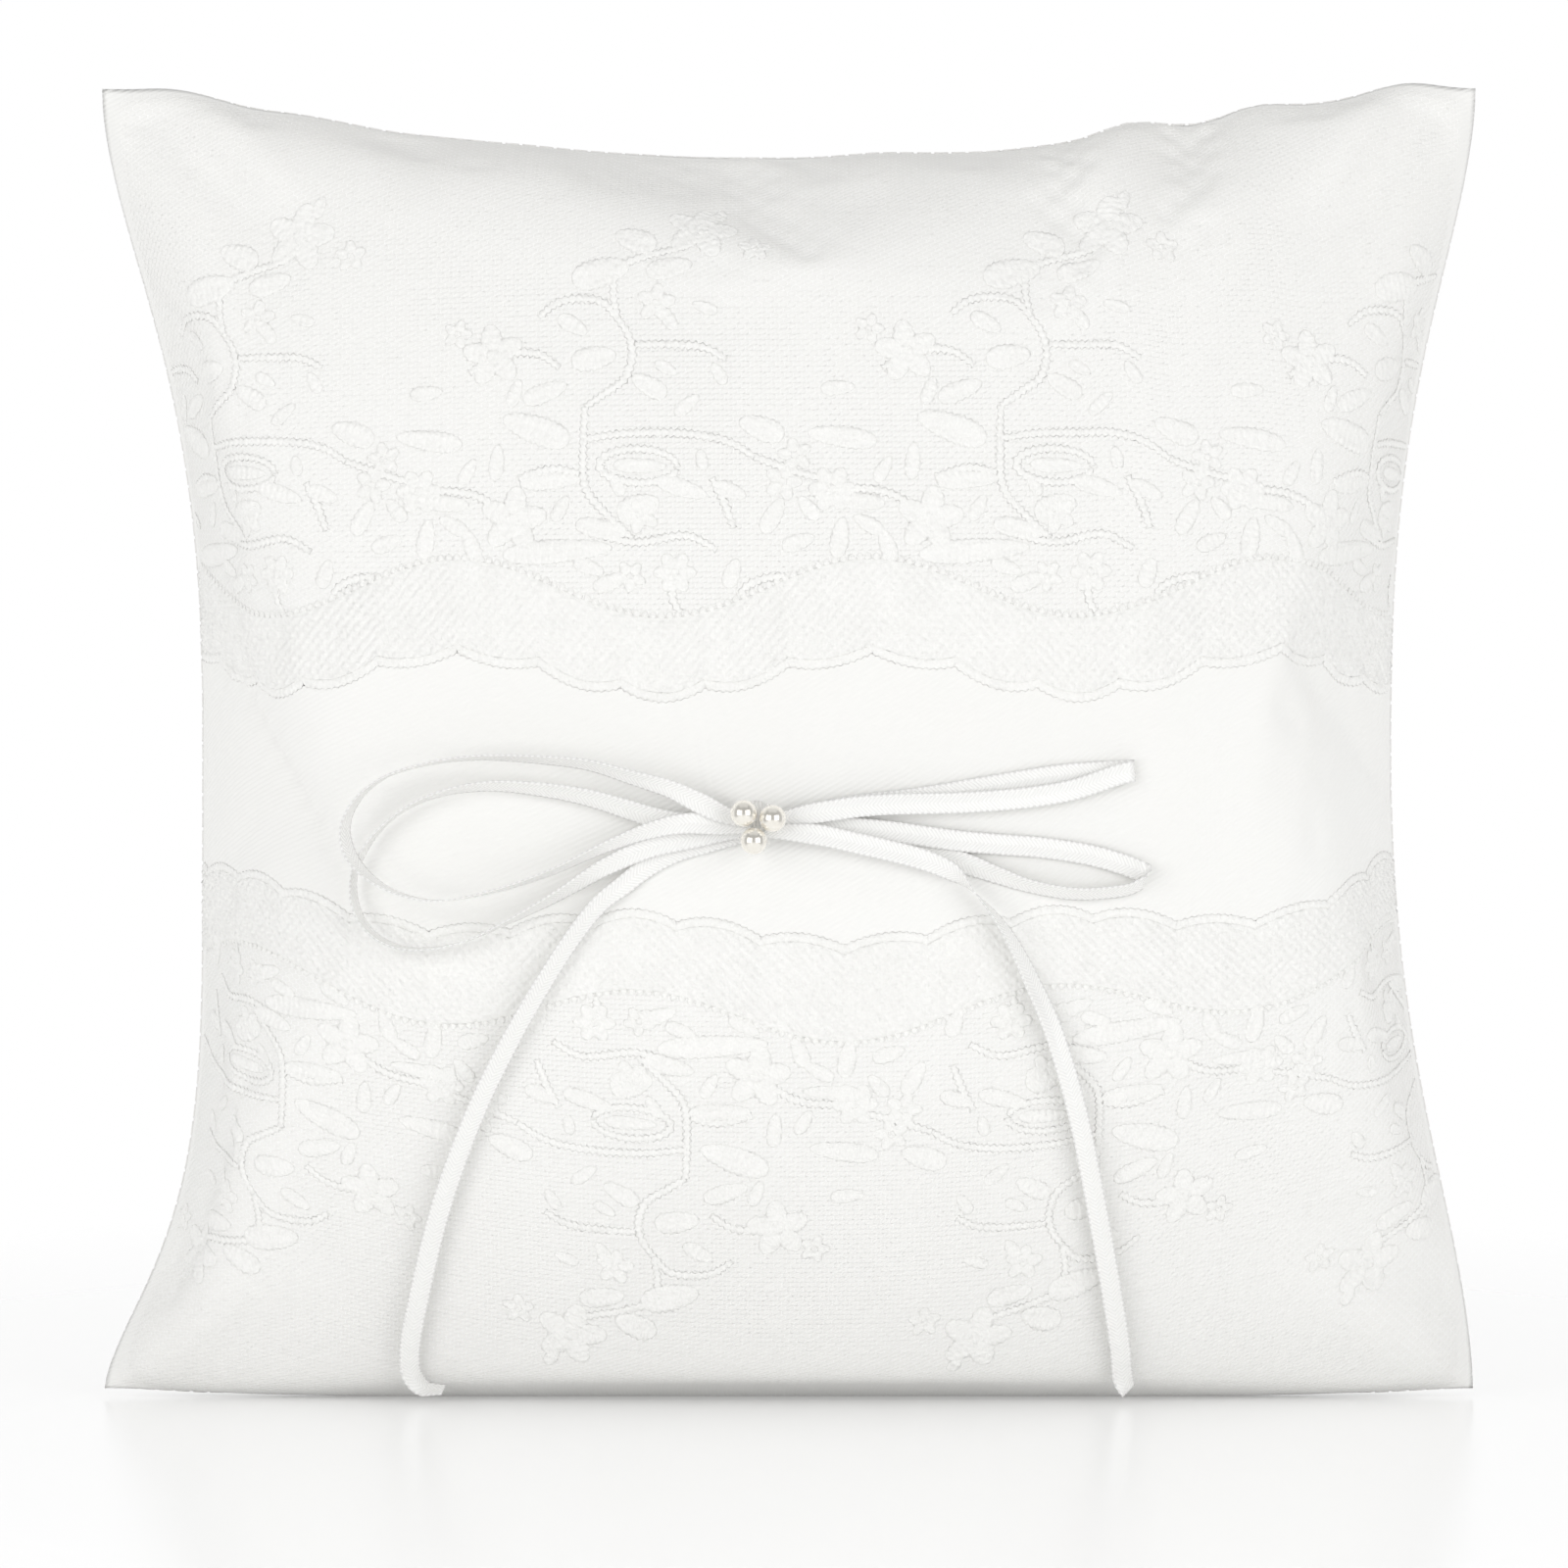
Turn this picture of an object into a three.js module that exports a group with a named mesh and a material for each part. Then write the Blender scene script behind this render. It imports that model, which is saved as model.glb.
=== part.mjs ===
// Ring bearer pillow: a square satin cushion that stands on its lower edge, with two pieces of
// embroidered net lace on its front, a narrow ribbon bow with two tails, and three pearls.
// Millimetres, +Z up, the front faces -Y. The cushion's seam lies in the plane y = 0 until the
// last lines move the whole object so that its box stands centred on the origin.

import * as THREE from 'three';

// ---------------------------------------------------------------- driving dimensions

// The cushion's outline. Its sides pull in between the corners, and its lower seam would hang
// below the floor by BASE_SAG if the floor did not press it flat.
const CORNER_HALF_WIDTH = 99.8;
const WAIST_HALF_WIDTH = 85.3;
const CORNER_HEIGHT = 190.5;
const WAIST_HEIGHT = 180;
const BASE_SAG = 12;
const PULL_POWER = 2.2;

// The cushion's thickness at its middle is twice this, and the crown falls off towards the seam.
const CROWN_HALF_THICKNESS = 33;
const CROWN_POWER = 2.2;
const CROWN_FULLNESS = 0.6;

const SATIN_THICKNESS = 0.6;
const FIT_GAP = 0.3;
const SEAM_HALF_GAP = 0.6;
const SEAM_SETBACK = SEAM_HALF_GAP + SATIN_THICKNESS;
const STUFFING_CLEARANCE = 2.4;
const STUFFING_REACH = 0.91;
const STUFFING_ROUNDING = 0.12;

// Layers on the front panel, as distances from its outer face.
const NET_BOTTOM = 0.4;
const NET_THICKNESS = 0.4;
const CORD_BOTTOM = 0.5;
const CORD_THICKNESS = 0.6;
const SPRAY_BOTTOM = NET_BOTTOM + NET_THICKNESS + FIT_GAP;
const SPRAY_THICKNESS = 0.4;

// The lace. One repeat of its border is a long wave with five small scallops.
const LACE_SIDE_REACH = 0.985;
const LACE_TOP_REACH = 0.985;
const LACE_BASE_REACH = 0.84;
const LACE_CORNER_REACH = 0.135;
const LACE_REPEAT = 55.5;
const SCALLOPS_PER_REPEAT = 5;
const SCALLOP_DEPTH = 1.6;
const SCALLOP_CORD_WIDTH = 0.8;
const NET_TO_BORDER = 1.1;
const UPPER_LACE = { edge: 106.3, wave: 2.6, border: 10.5, swell: 1.4, lobeAt: -17, rise: 0 };
const LOWER_LACE = { edge: 67.2, wave: 1.8, border: 10.5, swell: 1.4, lobeAt: -20, rise: 9 };
const RISE_POWER = 5;

const RIBBON_WIDTH = 3;
const RIBBON_THICKNESS = 0.3;
const FLOOR_CLEARANCE = 0.2;

const PEARL_DIAMETER = 3.9;
const PEARL_BORE_RADIUS = 0.5;
const PEARL_SPACING = PEARL_DIAMETER + FIT_GAP;
const PEARL_LIFT = 5.9;
const PEARL_TURNS = [140, 20, 260];
const PEARL_THREAD_RADIUS = 0.2;
const PEARL_THREAD_OVERHANG = 0.25;
const BOW_X = -4.4;
const BOW_Z = 84.6;
const PEARLS_X = BOW_X - 0.2;
const PEARLS_Z = BOW_Z + 0.5;
const BOW_STITCH_WIDTH = 0.8;
const BOW_STITCH_THICKNESS = 0.4;
// The tacking thread's route over the bow, as [height from BOW_Z, distance from the front panel].
const BOW_STITCH_BRIDGE = [
  [-5.5, 0.5], [-4.6, 2.6], [-2.2, 3.3], [0, 3.4], [2.2, 3.3], [4.6, 2.6], [5.5, 0.5],
];

const SEAM_THREAD_HALF_WIDTH = 0.5;
const SEAM_THREAD_HALF_DEPTH = SEAM_HALF_GAP - FIT_GAP;
const SEAM_THREAD_INSET = 0.7;
// The closing stitches' length, place and width, as shares of u and v.
const CLOSING_LENGTH = 0.7;
const CLOSING_V = -0.78;
const CLOSING_WIDTH = 0.012;

// How finely the solids are divided.
const SATIN_STEPS = 16;
const STUFFING_STEPS = 12;
const NET_COLUMNS = 18;
const NET_ROWS = 7;
const BORDER_STEPS_PER_SCALLOP = 4;
const SPRAY_STEPS = 22;
const STEPS_PER_ROUTE_POINT = 3;
const SEAM_THREAD_STEPS = 64;
const SEAM_THREAD_SIDES = 4;
const STITCH_STEPS = 12;
const PEARL_ARC_STEPS = 8;
const PEARL_TURN_STEPS = 12;
const PEARL_THREAD_SIDES = 8;

// Small steps for finding slopes, in u and v and in millimetres, and the rounds of a search.
const SLOPE_STEP = 0.004;
const SLOPE_REACH = 0.5;
const INVERSE_ROUNDS = 8;

// ---------------------------------------------------------------- materials

const satin = () => new THREE.MeshStandardMaterial({ color: 0xf7f6f1, roughness: 0.42, metalness: 0 });
const fibre = () => new THREE.MeshStandardMaterial({ color: 0xfbfbfa, roughness: 0.95, metalness: 0 });
const net = () => new THREE.MeshStandardMaterial({ color: 0xf3f2ec, roughness: 0.8, metalness: 0 });
const embroidery = () => new THREE.MeshStandardMaterial({ color: 0xf9f8f3, roughness: 0.6, metalness: 0 });
const ribbon = () => new THREE.MeshStandardMaterial({ color: 0xf6f5f0, roughness: 0.35, metalness: 0 });
const pearl = () => new THREE.MeshStandardMaterial({ color: 0xf6f0e0, roughness: 0.15, metalness: 0 });
const thread = () => new THREE.MeshStandardMaterial({ color: 0xf5f4ee, roughness: 0.7, metalness: 0 });

// ---------------------------------------------------------------- the cushion's surface

// u runs from -1 at the left seam to 1 at the right seam, and v from -1 at the lower seam to 1 at
// the top seam.

const pull = (t) => Math.abs(t) ** PULL_POWER;

const halfWidth = (v) => WAIST_HALF_WIDTH + (CORNER_HALF_WIDTH - WAIST_HALF_WIDTH) * pull(v);
const topSeam = (u) => WAIST_HEIGHT + (CORNER_HEIGHT - WAIST_HEIGHT) * pull(u);
const lowerSeam = (u) => -BASE_SAG * (1 - pull(u));

function crown(u, v) {
  const across = 1 - Math.abs(u) ** CROWN_POWER;
  const upward = 1 - Math.abs(v) ** CROWN_POWER;
  return CROWN_HALF_THICKNESS * Math.max(across * upward, 0) ** CROWN_FULLNESS;
}

// A point of the front panel's outer face, before the floor presses the base flat.
function frontPoint(u, v) {
  const middle = (topSeam(u) + lowerSeam(u)) / 2;
  const reach = (topSeam(u) - lowerSeam(u)) / 2;
  return new THREE.Vector3(u * halfWidth(v), -crown(u, v) - SEAM_SETBACK, middle + v * reach);
}

function frontNormal(u, v) {
  const clamp = (t) => THREE.MathUtils.clamp(t, -1, 1);
  const alongU = frontPoint(clamp(u + SLOPE_STEP), v).sub(frontPoint(clamp(u - SLOPE_STEP), v));
  const alongV = frontPoint(u, clamp(v + SLOPE_STEP)).sub(frontPoint(u, clamp(v - SLOPE_STEP)));
  return alongU.cross(alongV).normalize();
}

// A point at a distance from the front panel's outer face, held above the floor and clear of
// the seam plane.
function layerPoint(u, v, distance) {
  const point = frontPoint(u, v).addScaledVector(frontNormal(u, v), distance);
  point.y = Math.min(point.y, -SEAM_HALF_GAP);
  point.z = Math.max(point.z, Math.max(-distance, 0));
  return point;
}

// The u and v of the front panel's point at a place (x, z), found by repeated substitution.
function surfaceAt(x, z) {
  let u = x / WAIST_HALF_WIDTH;
  let v = 0;
  for (let round = 0; round < INVERSE_ROUNDS; round += 1) {
    v = (2 * z - topSeam(u) - lowerSeam(u)) / (topSeam(u) - lowerSeam(u));
    u = x / halfWidth(v);
  }
  return [u, v];
}

const frontY = (x, z) => frontPoint(...surfaceAt(x, z)).y;

// ---------------------------------------------------------------- shaping helpers

// Bends a unit box into a closed sheet. place takes a, b and c from -0.5 to 0.5: along x, through
// the thickness from the outer face to the inner one, and along z.
function bentBox(alongSteps, acrossSteps, place) {
  const geometry = new THREE.BoxGeometry(1, 1, 1, alongSteps, 1, acrossSteps);
  const position = geometry.attributes.position;
  for (let i = 0; i < position.count; i += 1) {
    const point = place(position.getX(i), position.getY(i), position.getZ(i));
    position.setXYZ(i, point.x, point.y, point.z);
  }
  geometry.computeVertexNormals();
  return geometry;
}

const mix = THREE.MathUtils.lerp;

// Steps evenly from one value to another, between -1 and 1, in arcs that grow finer towards the
// seams, as the crown gets steeper there. share is from -0.5 to 0.5.
const arcMix = (low, high, share) => Math.sin(mix(Math.asin(low), Math.asin(high), share + 0.5));
const towardsSeams = (share) => arcMix(-1, 1, share);

function namedMesh(name, geometry, material) {
  const mesh = new THREE.Mesh(geometry, material);
  mesh.name = name;
  return mesh;
}

// ---------------------------------------------------------------- cover and stuffing

function satinPanel(name) {
  const geometry = bentBox(SATIN_STEPS, SATIN_STEPS, (a, b, c) =>
    layerPoint(towardsSeams(a), towardsSeams(c), b < 0 ? 0 : -SATIN_THICKNESS));
  return namedMesh(name, geometry, satin());
}

// The fill stays inside both panels, so its outline has rounder corners than theirs.
function stuffing() {
  const geometry = bentBox(STUFFING_STEPS, STUFFING_STEPS, (a, b, c) => {
    const squareU = towardsSeams(a);
    const squareV = towardsSeams(c);
    const u = STUFFING_REACH * squareU * Math.sqrt(1 - STUFFING_ROUNDING * squareV ** 2);
    const v = STUFFING_REACH * squareV * Math.sqrt(1 - STUFFING_ROUNDING * squareU ** 2);
    const point = frontPoint(u, v);
    const depth = crown(u, v) - STUFFING_CLEARANCE;
    point.y = b < 0 ? -depth : depth;
    point.z = Math.max(point.z, STUFFING_CLEARANCE);
    return point;
  });
  return namedMesh('stuffing', geometry, fibre());
}

// A ring of stitching between the two panels' edges, bent from a torus to the square outline.
function seamThread() {
  const ringRadius = 10;
  const geometry = new THREE.TorusGeometry(ringRadius, 1, SEAM_THREAD_SIDES, SEAM_THREAD_STEPS);
  const position = geometry.attributes.position;
  for (let i = 0; i < position.count; i += 1) {
    const angle = Math.atan2(position.getY(i), position.getX(i));
    const outward = Math.hypot(position.getX(i), position.getY(i)) - ringRadius;
    const toSquare = Math.max(Math.abs(Math.cos(angle)), Math.abs(Math.sin(angle)));
    const seam = frontPoint(Math.cos(angle) / toSquare, Math.sin(angle) / toSquare);
    const inset = SEAM_THREAD_INSET - SEAM_THREAD_HALF_WIDTH * outward;
    position.setXYZ(
      i,
      seam.x - inset * Math.cos(angle),
      -SEAM_THREAD_HALF_DEPTH * position.getZ(i),
      Math.max(seam.z, 0) - inset * Math.sin(angle),
    );
  }
  geometry.computeVertexNormals();
  return namedMesh('seam_thread', geometry, thread());
}

// Hand stitching low on the back panel. It is shaped on the front, and the back group turns it.
function closingStitches() {
  const geometry = bentBox(STITCH_STEPS, 1, (a, b, c) =>
    layerPoint(
      CLOSING_LENGTH * a,
      CLOSING_V + CLOSING_WIDTH * c,
      b < 0 ? NET_BOTTOM + NET_THICKNESS : NET_BOTTOM,
    ));
  return namedMesh('closing_stitches', geometry, thread());
}

// ---------------------------------------------------------------- lace

// The scalloped edge's height at x. side is -1 for a piece that hangs down from the top seam and
// 1 for a piece that stands up from the lower seam.
function scallopHeight(lace, side, x) {
  const phase = (x - lace.lobeAt) / LACE_REPEAT;
  const wave = lace.wave * Math.cos(2 * Math.PI * phase);
  const scallop = SCALLOP_DEPTH * Math.abs(Math.cos(Math.PI * SCALLOPS_PER_REPEAT * phase));
  const rise = lace.rise * Math.abs(x / WAIST_HALF_WIDTH) ** RISE_POWER;
  return lace.edge + side * (wave + scallop) + rise;
}

// The line where the net meets the dense border, which is widest between the large lobes.
function borderHeight(lace, side, x) {
  const phase = (x - lace.lobeAt) / LACE_REPEAT;
  const width = lace.border - lace.swell * Math.cos(2 * Math.PI * phase);
  const rise = lace.rise * Math.abs(x / WAIST_HALF_WIDTH) ** RISE_POWER;
  return lace.edge + rise - side * width;
}

// The v of a height on the column that u names.
function columnV(u, heightAt) {
  let v = 0;
  for (let round = 0; round < INVERSE_ROUNDS; round += 1) {
    const x = u * halfWidth(v);
    [, v] = surfaceAt(x, heightAt(x));
  }
  return v;
}

const laceBase = (u) => -LACE_BASE_REACH - LACE_CORNER_REACH * pull(u);

// The net's columns grow finer towards the side seams, and the border's stay even for its scallops.
const netColumn = (a) => arcMix(-LACE_SIDE_REACH, LACE_SIDE_REACH, a);
const borderColumn = (a) => 2 * LACE_SIDE_REACH * a;

// A strip of lace between two edges, each given as the v of every column.
function laceStrip(columns, rows, columnAt, edges, bottom, thickness) {
  return bentBox(columns, rows, (a, b, c) => {
    const u = columnAt(a);
    const [lowV, highV] = edges.map((edge) => edge(u)).sort((one, other) => one - other);
    return layerPoint(u, arcMix(lowV, highV, c), b < 0 ? bottom + thickness : bottom);
  });
}

function lacePieces(label, lace, side) {
  const reach = 2 * LACE_SIDE_REACH * WAIST_HALF_WIDTH;
  const columns = Math.round((reach / LACE_REPEAT) * SCALLOPS_PER_REPEAT * BORDER_STEPS_PER_SCALLOP);
  const clear = (height, distance) => (x) => height(lace, side, x) + side * distance;
  const edgeOf = (height, distance) => (u) => columnV(u, clear(height, distance));
  const seamEdge = side < 0 ? () => LACE_TOP_REACH : laceBase;
  const netEdges = [edgeOf(borderHeight, -NET_TO_BORDER), seamEdge];
  const borderEdges = [edgeOf(borderHeight, 0), edgeOf(scallopHeight, 0)];
  const cordEdges = [
    edgeOf(scallopHeight, FIT_GAP),
    edgeOf(scallopHeight, FIT_GAP + SCALLOP_CORD_WIDTH),
  ];
  return [
    namedMesh(`lace_net_${label}`,
      laceStrip(NET_COLUMNS, NET_ROWS, netColumn, netEdges, NET_BOTTOM, NET_THICKNESS), net()),
    namedMesh(`lace_border_${label}`,
      laceStrip(columns, 1, borderColumn, borderEdges, NET_BOTTOM, NET_THICKNESS), embroidery()),
    namedMesh(`scallop_cord_${label}`,
      laceStrip(columns, 1, borderColumn, cordEdges, CORD_BOTTOM, CORD_THICKNESS), embroidery()),
  ];
}

// ---------------------------------------------------------------- embroidered sprays

// A spray's stem as [x, z] from its first flower, and its half-width at each point: a flower, a
// thin stem, a leaf, and a curl that ends in a second flower.
const SPRAY_STEM = [
  [0, 0, 4.2], [-4, -3, 1.2], [-8.5, -8, 0.8], [-13, -14, 1.6], [-15.5, -21, 2.4],
  [-12, -27, 1.2], [-5, -30, 0.8], [3, -31, 1.8], [10, -32, 1.0], [16, -30, 3.2],
];
const SPRAY_UPPER_AT = [[-64, 162], [-9, 163], [46, 163], [79, 150]];
const SPRAY_LOWER_AT = [[-72, 17], [-26, 22], [29, 22], [76, 19]];
// The sprays that the side seams cut short are smaller.
const SPRAY_EDGE_SCALE = 0.55;
const SPRAY_EDGE_X = 70;

function spray(name, [x0, z0], scale, side) {
  const stem = SPRAY_STEM.map(([x, z, w]) => new THREE.Vector3(scale * x, side * -scale * z, scale * w));
  const curve = new THREE.CatmullRomCurve3(stem, false, 'centripetal');
  const geometry = bentBox(SPRAY_STEPS, 2, (a, b, c) => {
    const t = a + 0.5;
    const here = curve.getPoint(t);
    const along = curve.getTangent(t).setZ(0).normalize();
    const across = 2 * c * here.z;
    const [u, v] = surfaceAt(x0 + here.x - across * along.y, z0 + here.y + across * along.x);
    return layerPoint(u, v, b < 0 ? SPRAY_BOTTOM + SPRAY_THICKNESS : SPRAY_BOTTOM);
  });
  return namedMesh(name, geometry, embroidery());
}

function sprays(label, places, side) {
  return places.map((place, i) => {
    const scale = Math.abs(place[0]) > SPRAY_EDGE_X ? SPRAY_EDGE_SCALE : 1;
    return spray(`spray_${label}_${i + 1}`, place, scale, side);
  });
}

// ---------------------------------------------------------------- ribbon

// Each route is a list of points [x, z, lift, lean, stand]: the ribbon's middle stands lift proud
// of the front panel, lean is the direction of its width in the panel's plane, in degrees from
// +X, and stand turns it from lying flat (0) to standing on its edge (90).
const LOOP_LEFT_UPPER = [
  [-5.2, 85.2, 2.85, 90, 0], [-9.4, 86.4, 3.0, 90, 0], [-12.9, 88.1, 3.5, 80, 10],
  [-16.9, 90, 4.2, 75, 30], [-22.4, 91.7, 5.0, 78, 46], [-28.7, 93.5, 5.6, 80, 58],
  [-36.5, 94.3, 6.0, 85, 68], [-44.3, 94.5, 6.3, 90, 77], [-51.5, 93.6, 6.5, 95, 85],
  [-58, 91.5, 6.6, 100, 90], [-61.8, 88.3, 6.6, 100, 90], [-63.5, 84.5, 6.6, 90, 90],
  [-63, 81, 6.6, 90, 90], [-60.8, 78, 6.6, 90, 90], [-56.8, 75.4, 6.6, 80, 90],
  [-50.8, 74, 6.5, 80, 86], [-43, 75.2, 6.3, 75, 78], [-34.4, 78, 5.9, 75, 68],
  [-25.8, 81.9, 5.0, 75, 50], [-19.4, 84.2, 4.1, 78, 30], [-14.4, 85.1, 3.2, 90, 10],
  [-9.4, 84.7, 2.4, 90, 0], [-5.2, 84.5, 2.25, 90, 0],
];
const LOOP_LEFT_LOWER = [
  [-5.2, 84.8, 1.65, 90, 0], [-9.4, 85.1, 1.65, 90, 0], [-14.4, 85, 1.75, 90, 0],
  [-18.4, 85.6, 1.9, 85, 6], [-23, 87, 2.2, 80, 20], [-28.7, 88.7, 2.5, 80, 34],
  [-35.8, 89.9, 2.8, 85, 48], [-43, 90.3, 3.0, 90, 62], [-49.4, 89.3, 3.1, 95, 76],
  [-54.4, 87.3, 3.2, 100, 86], [-58.3, 84.3, 3.2, 100, 90], [-61, 80.7, 3.2, 95, 90],
  [-62.4, 77, 3.2, 90, 90], [-62.1, 72.8, 3.2, 90, 90], [-60.2, 69.5, 3.2, 85, 90],
  [-56.8, 67.4, 3.2, 80, 90], [-52.3, 66.9, 3.2, 75, 88], [-46.5, 68, 3.2, 80, 84],
  [-40.1, 70.9, 3.1, 90, 74], [-33, 74.7, 2.9, 100, 56], [-26, 78.9, 2.6, 108, 30],
  [-20.3, 81.4, 1.9, 108, 12], [-14.4, 82.8, 1.2, 102, 2], [-9.4, 83.7, 1.05, 96, 0],
  [-5.2, 84, 1.05, 90, 0],
];
const LOOP_RIGHT_UPPER = [
  [-3.6, 85, 1.65, 90, 0], [1.1, 85.9, 1.55, 96, 0], [8.6, 87.4, 1.15, 100, 0],
  [18.6, 88.6, 0.7, 98, 0], [30.2, 90.5, 0.5, 98, 0], [39.5, 91.9, 0.5, 98, 0],
  [47.6, 92.4, 0.5, 98, 0], [49, 92.5, 0.65, 98, 0], [49.5, 92.4, 1.1, 98, 0],
  [49, 92.3, 1.55, 98, 0], [47, 91.8, 1.65, 98, 0], [41, 89.8, 1.5, 99, 0],
  [34.7, 88.7, 1.6, 97, 0], [25.5, 88, 1.9, 95, 0], [11.6, 87.6, 2.3, 90, 0],
  [4.2, 86.6, 2.35, 96, 0], [-3.6, 85.1, 2.25, 90, 0],
];
const LOOP_RIGHT_LOWER = [
  [-3.6, 84.4, 1.05, 90, 0], [1.1, 84.6, 1.0, 90, 0], [7, 84.5, 0.9, 88, 0],
  [14.6, 83.8, 1.0, 85, 0], [23.9, 82.5, 0.85, 84, 0], [30.2, 81.9, 0.6, 85, 0],
  [36.3, 81.4, 0.5, 85, 0], [44, 80.1, 0.6, 78, 0], [49.6, 78.3, 0.8, 70, 0],
  [51, 77.6, 1.3, 70, 10], [50.9, 76.6, 2.0, 72, 30], [49.1, 75.5, 2.2, 82, 46],
  [46.2, 75, 2.2, 90, 50], [41, 74.8, 2.1, 92, 50], [34.7, 75.9, 1.7, 102, 44],
  [30.1, 77.4, 1.1, 106, 26], [25.2, 79.2, 0.6, 108, 4], [17.7, 81.4, 0.5, 105, 0],
  [9.9, 83, 0.45, 100, 0], [2.7, 83.8, 0.45, 95, 0], [-3.6, 84, 0.45, 90, 0],
];
const TAIL_LEFT = [
  [-5.2, 83.4, 0.45, 90, 0], [-8.4, 82.9, 0.45, 96, 0], [-12.1, 82.1, 0.45, 104, 2],
  [-16.1, 80.9, 0.5, 113, 8], [-20.3, 78.7, 0.7, 122, 12], [-23.8, 76, 1.3, 128, 22],
  [-27, 73.5, 2.2, 136, 32], [-30.7, 68.9, 2.8, 145, 36], [-35.4, 61.6, 2.9, 149, 34],
  [-40.4, 52.8, 2.8, 152, 28], [-45.3, 42.5, 2.7, 157, 22], [-50.1, 29.2, 2.7, 162, 16],
  [-53.4, 15.9, 2.7, 168, 12], [-54.8, 8.4, 2.7, 176, 14], [-54.6, 4.2, 2.9, 186, 30],
  [-52.8, 2.2, 3.4, 200, 60], [-50, 2, 3.6, 230, 80],
];
const TAIL_RIGHT = [
  [-3.6, 83.9, 2.85, 90, 0], [0.3, 83.8, 2.85, 94, 0], [4.3, 83.4, 2.7, 98, 0],
  [9.8, 82.2, 2.4, 102, 0], [15.3, 80.9, 2.2, 103, 0], [19.9, 79.6, 2.3, 108, 4],
  [23.5, 77.9, 2.6, 118, 14], [27, 74.6, 2.9, 135, 36], [29.9, 71.2, 3.1, 145, 40],
  [32.2, 67.6, 3.0, 150, 36], [35.1, 61.6, 2.8, 152, 24], [37.9, 55.1, 2.6, 156, 16],
  [41.3, 43.7, 2.5, 162, 10], [44.3, 29.2, 2.5, 168, 6], [46.7, 15.9, 2.6, 172, 4],
  [47.9, 8.2, 2.6, 176, 4], [48.4, 3.6, 2.8, 178, 10], [49.2, 1.8, 3.6, 200, 40],
];

function ribbonFrame(x, z, lean, stand) {
  const slopeX = (frontY(x + SLOPE_REACH, z) - frontY(x - SLOPE_REACH, z)) / (2 * SLOPE_REACH);
  const slopeZ = (frontY(x, z + SLOPE_REACH) - frontY(x, z - SLOPE_REACH)) / (2 * SLOPE_REACH);
  const flatX = Math.cos(THREE.MathUtils.degToRad(lean));
  const flatZ = Math.sin(THREE.MathUtils.degToRad(lean));
  const flat = new THREE.Vector3(flatX, slopeX * flatX + slopeZ * flatZ, flatZ).normalize();
  const proud = new THREE.Vector3(slopeX, -1, slopeZ).normalize();
  const turn = THREE.MathUtils.degToRad(stand);
  return flat.multiplyScalar(Math.cos(turn)).addScaledVector(proud, Math.sin(turn));
}

// A flat strip that follows a route, with its width turned as each point says.
function ribbonPiece(name, route) {
  const middle = route.map(([x, z, lift]) => new THREE.Vector3(x, frontY(x, z) - lift, z));
  const widths = route.map(([x, z, , lean, stand]) => ribbonFrame(x, z, lean, stand));
  const curve = new THREE.CatmullRomCurve3(middle, false, 'centripetal');
  const widthCurve = new THREE.CatmullRomCurve3(widths, false, 'centripetal');
  const steps = (route.length - 1) * STEPS_PER_ROUTE_POINT;
  const geometry = bentBox(steps, 1, (a, b, c) => {
    const t = a + 0.5;
    const along = curve.getTangent(t);
    const across = widthCurve.getPoint(t);
    across.addScaledVector(along, -across.dot(along)).normalize();
    const face = across.clone().cross(along);
    const point = curve.getPoint(t)
      .addScaledVector(across, RIBBON_WIDTH * c)
      .addScaledVector(face, RIBBON_THICKNESS * b);
    point.z = Math.max(point.z, FLOOR_CLEARANCE);
    return point;
  });
  return namedMesh(name, geometry, ribbon());
}

// ---------------------------------------------------------------- pearls and tacking thread

// A thread bridge over the waist of the bow, from the satin above it to the satin below it.
function bowStitch() {
  const base = frontY(BOW_X, BOW_Z);
  const bridge = BOW_STITCH_BRIDGE.map(([z, lift]) => new THREE.Vector3(BOW_X, base - lift, BOW_Z + z));
  const curve = new THREE.CatmullRomCurve3(bridge, false, 'centripetal');
  const across = new THREE.Vector3(1, 0, 0);
  const geometry = bentBox(STITCH_STEPS, 1, (a, b, c) => {
    const along = curve.getTangent(a + 0.5);
    const face = across.clone().cross(along);
    return curve.getPoint(a + 0.5)
      .addScaledVector(across, BOW_STITCH_WIDTH * c)
      .addScaledVector(face, BOW_STITCH_THICKNESS * b);
  });
  return namedMesh('bow_stitch', geometry, thread());
}

// A ball with a thread bore, turned about the bore's axis.
function pearlGeometry() {
  const radius = PEARL_DIAMETER / 2;
  const mouth = Math.asin(PEARL_BORE_RADIUS / radius);
  const profile = [];
  for (let i = 0; i <= PEARL_ARC_STEPS; i += 1) {
    const angle = mix(mouth, Math.PI - mouth, i / PEARL_ARC_STEPS);
    profile.push(new THREE.Vector2(radius * Math.sin(angle), -radius * Math.cos(angle)));
  }
  profile.push(profile[0].clone());
  return new THREE.LatheGeometry(profile, PEARL_TURN_STEPS);
}

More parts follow.
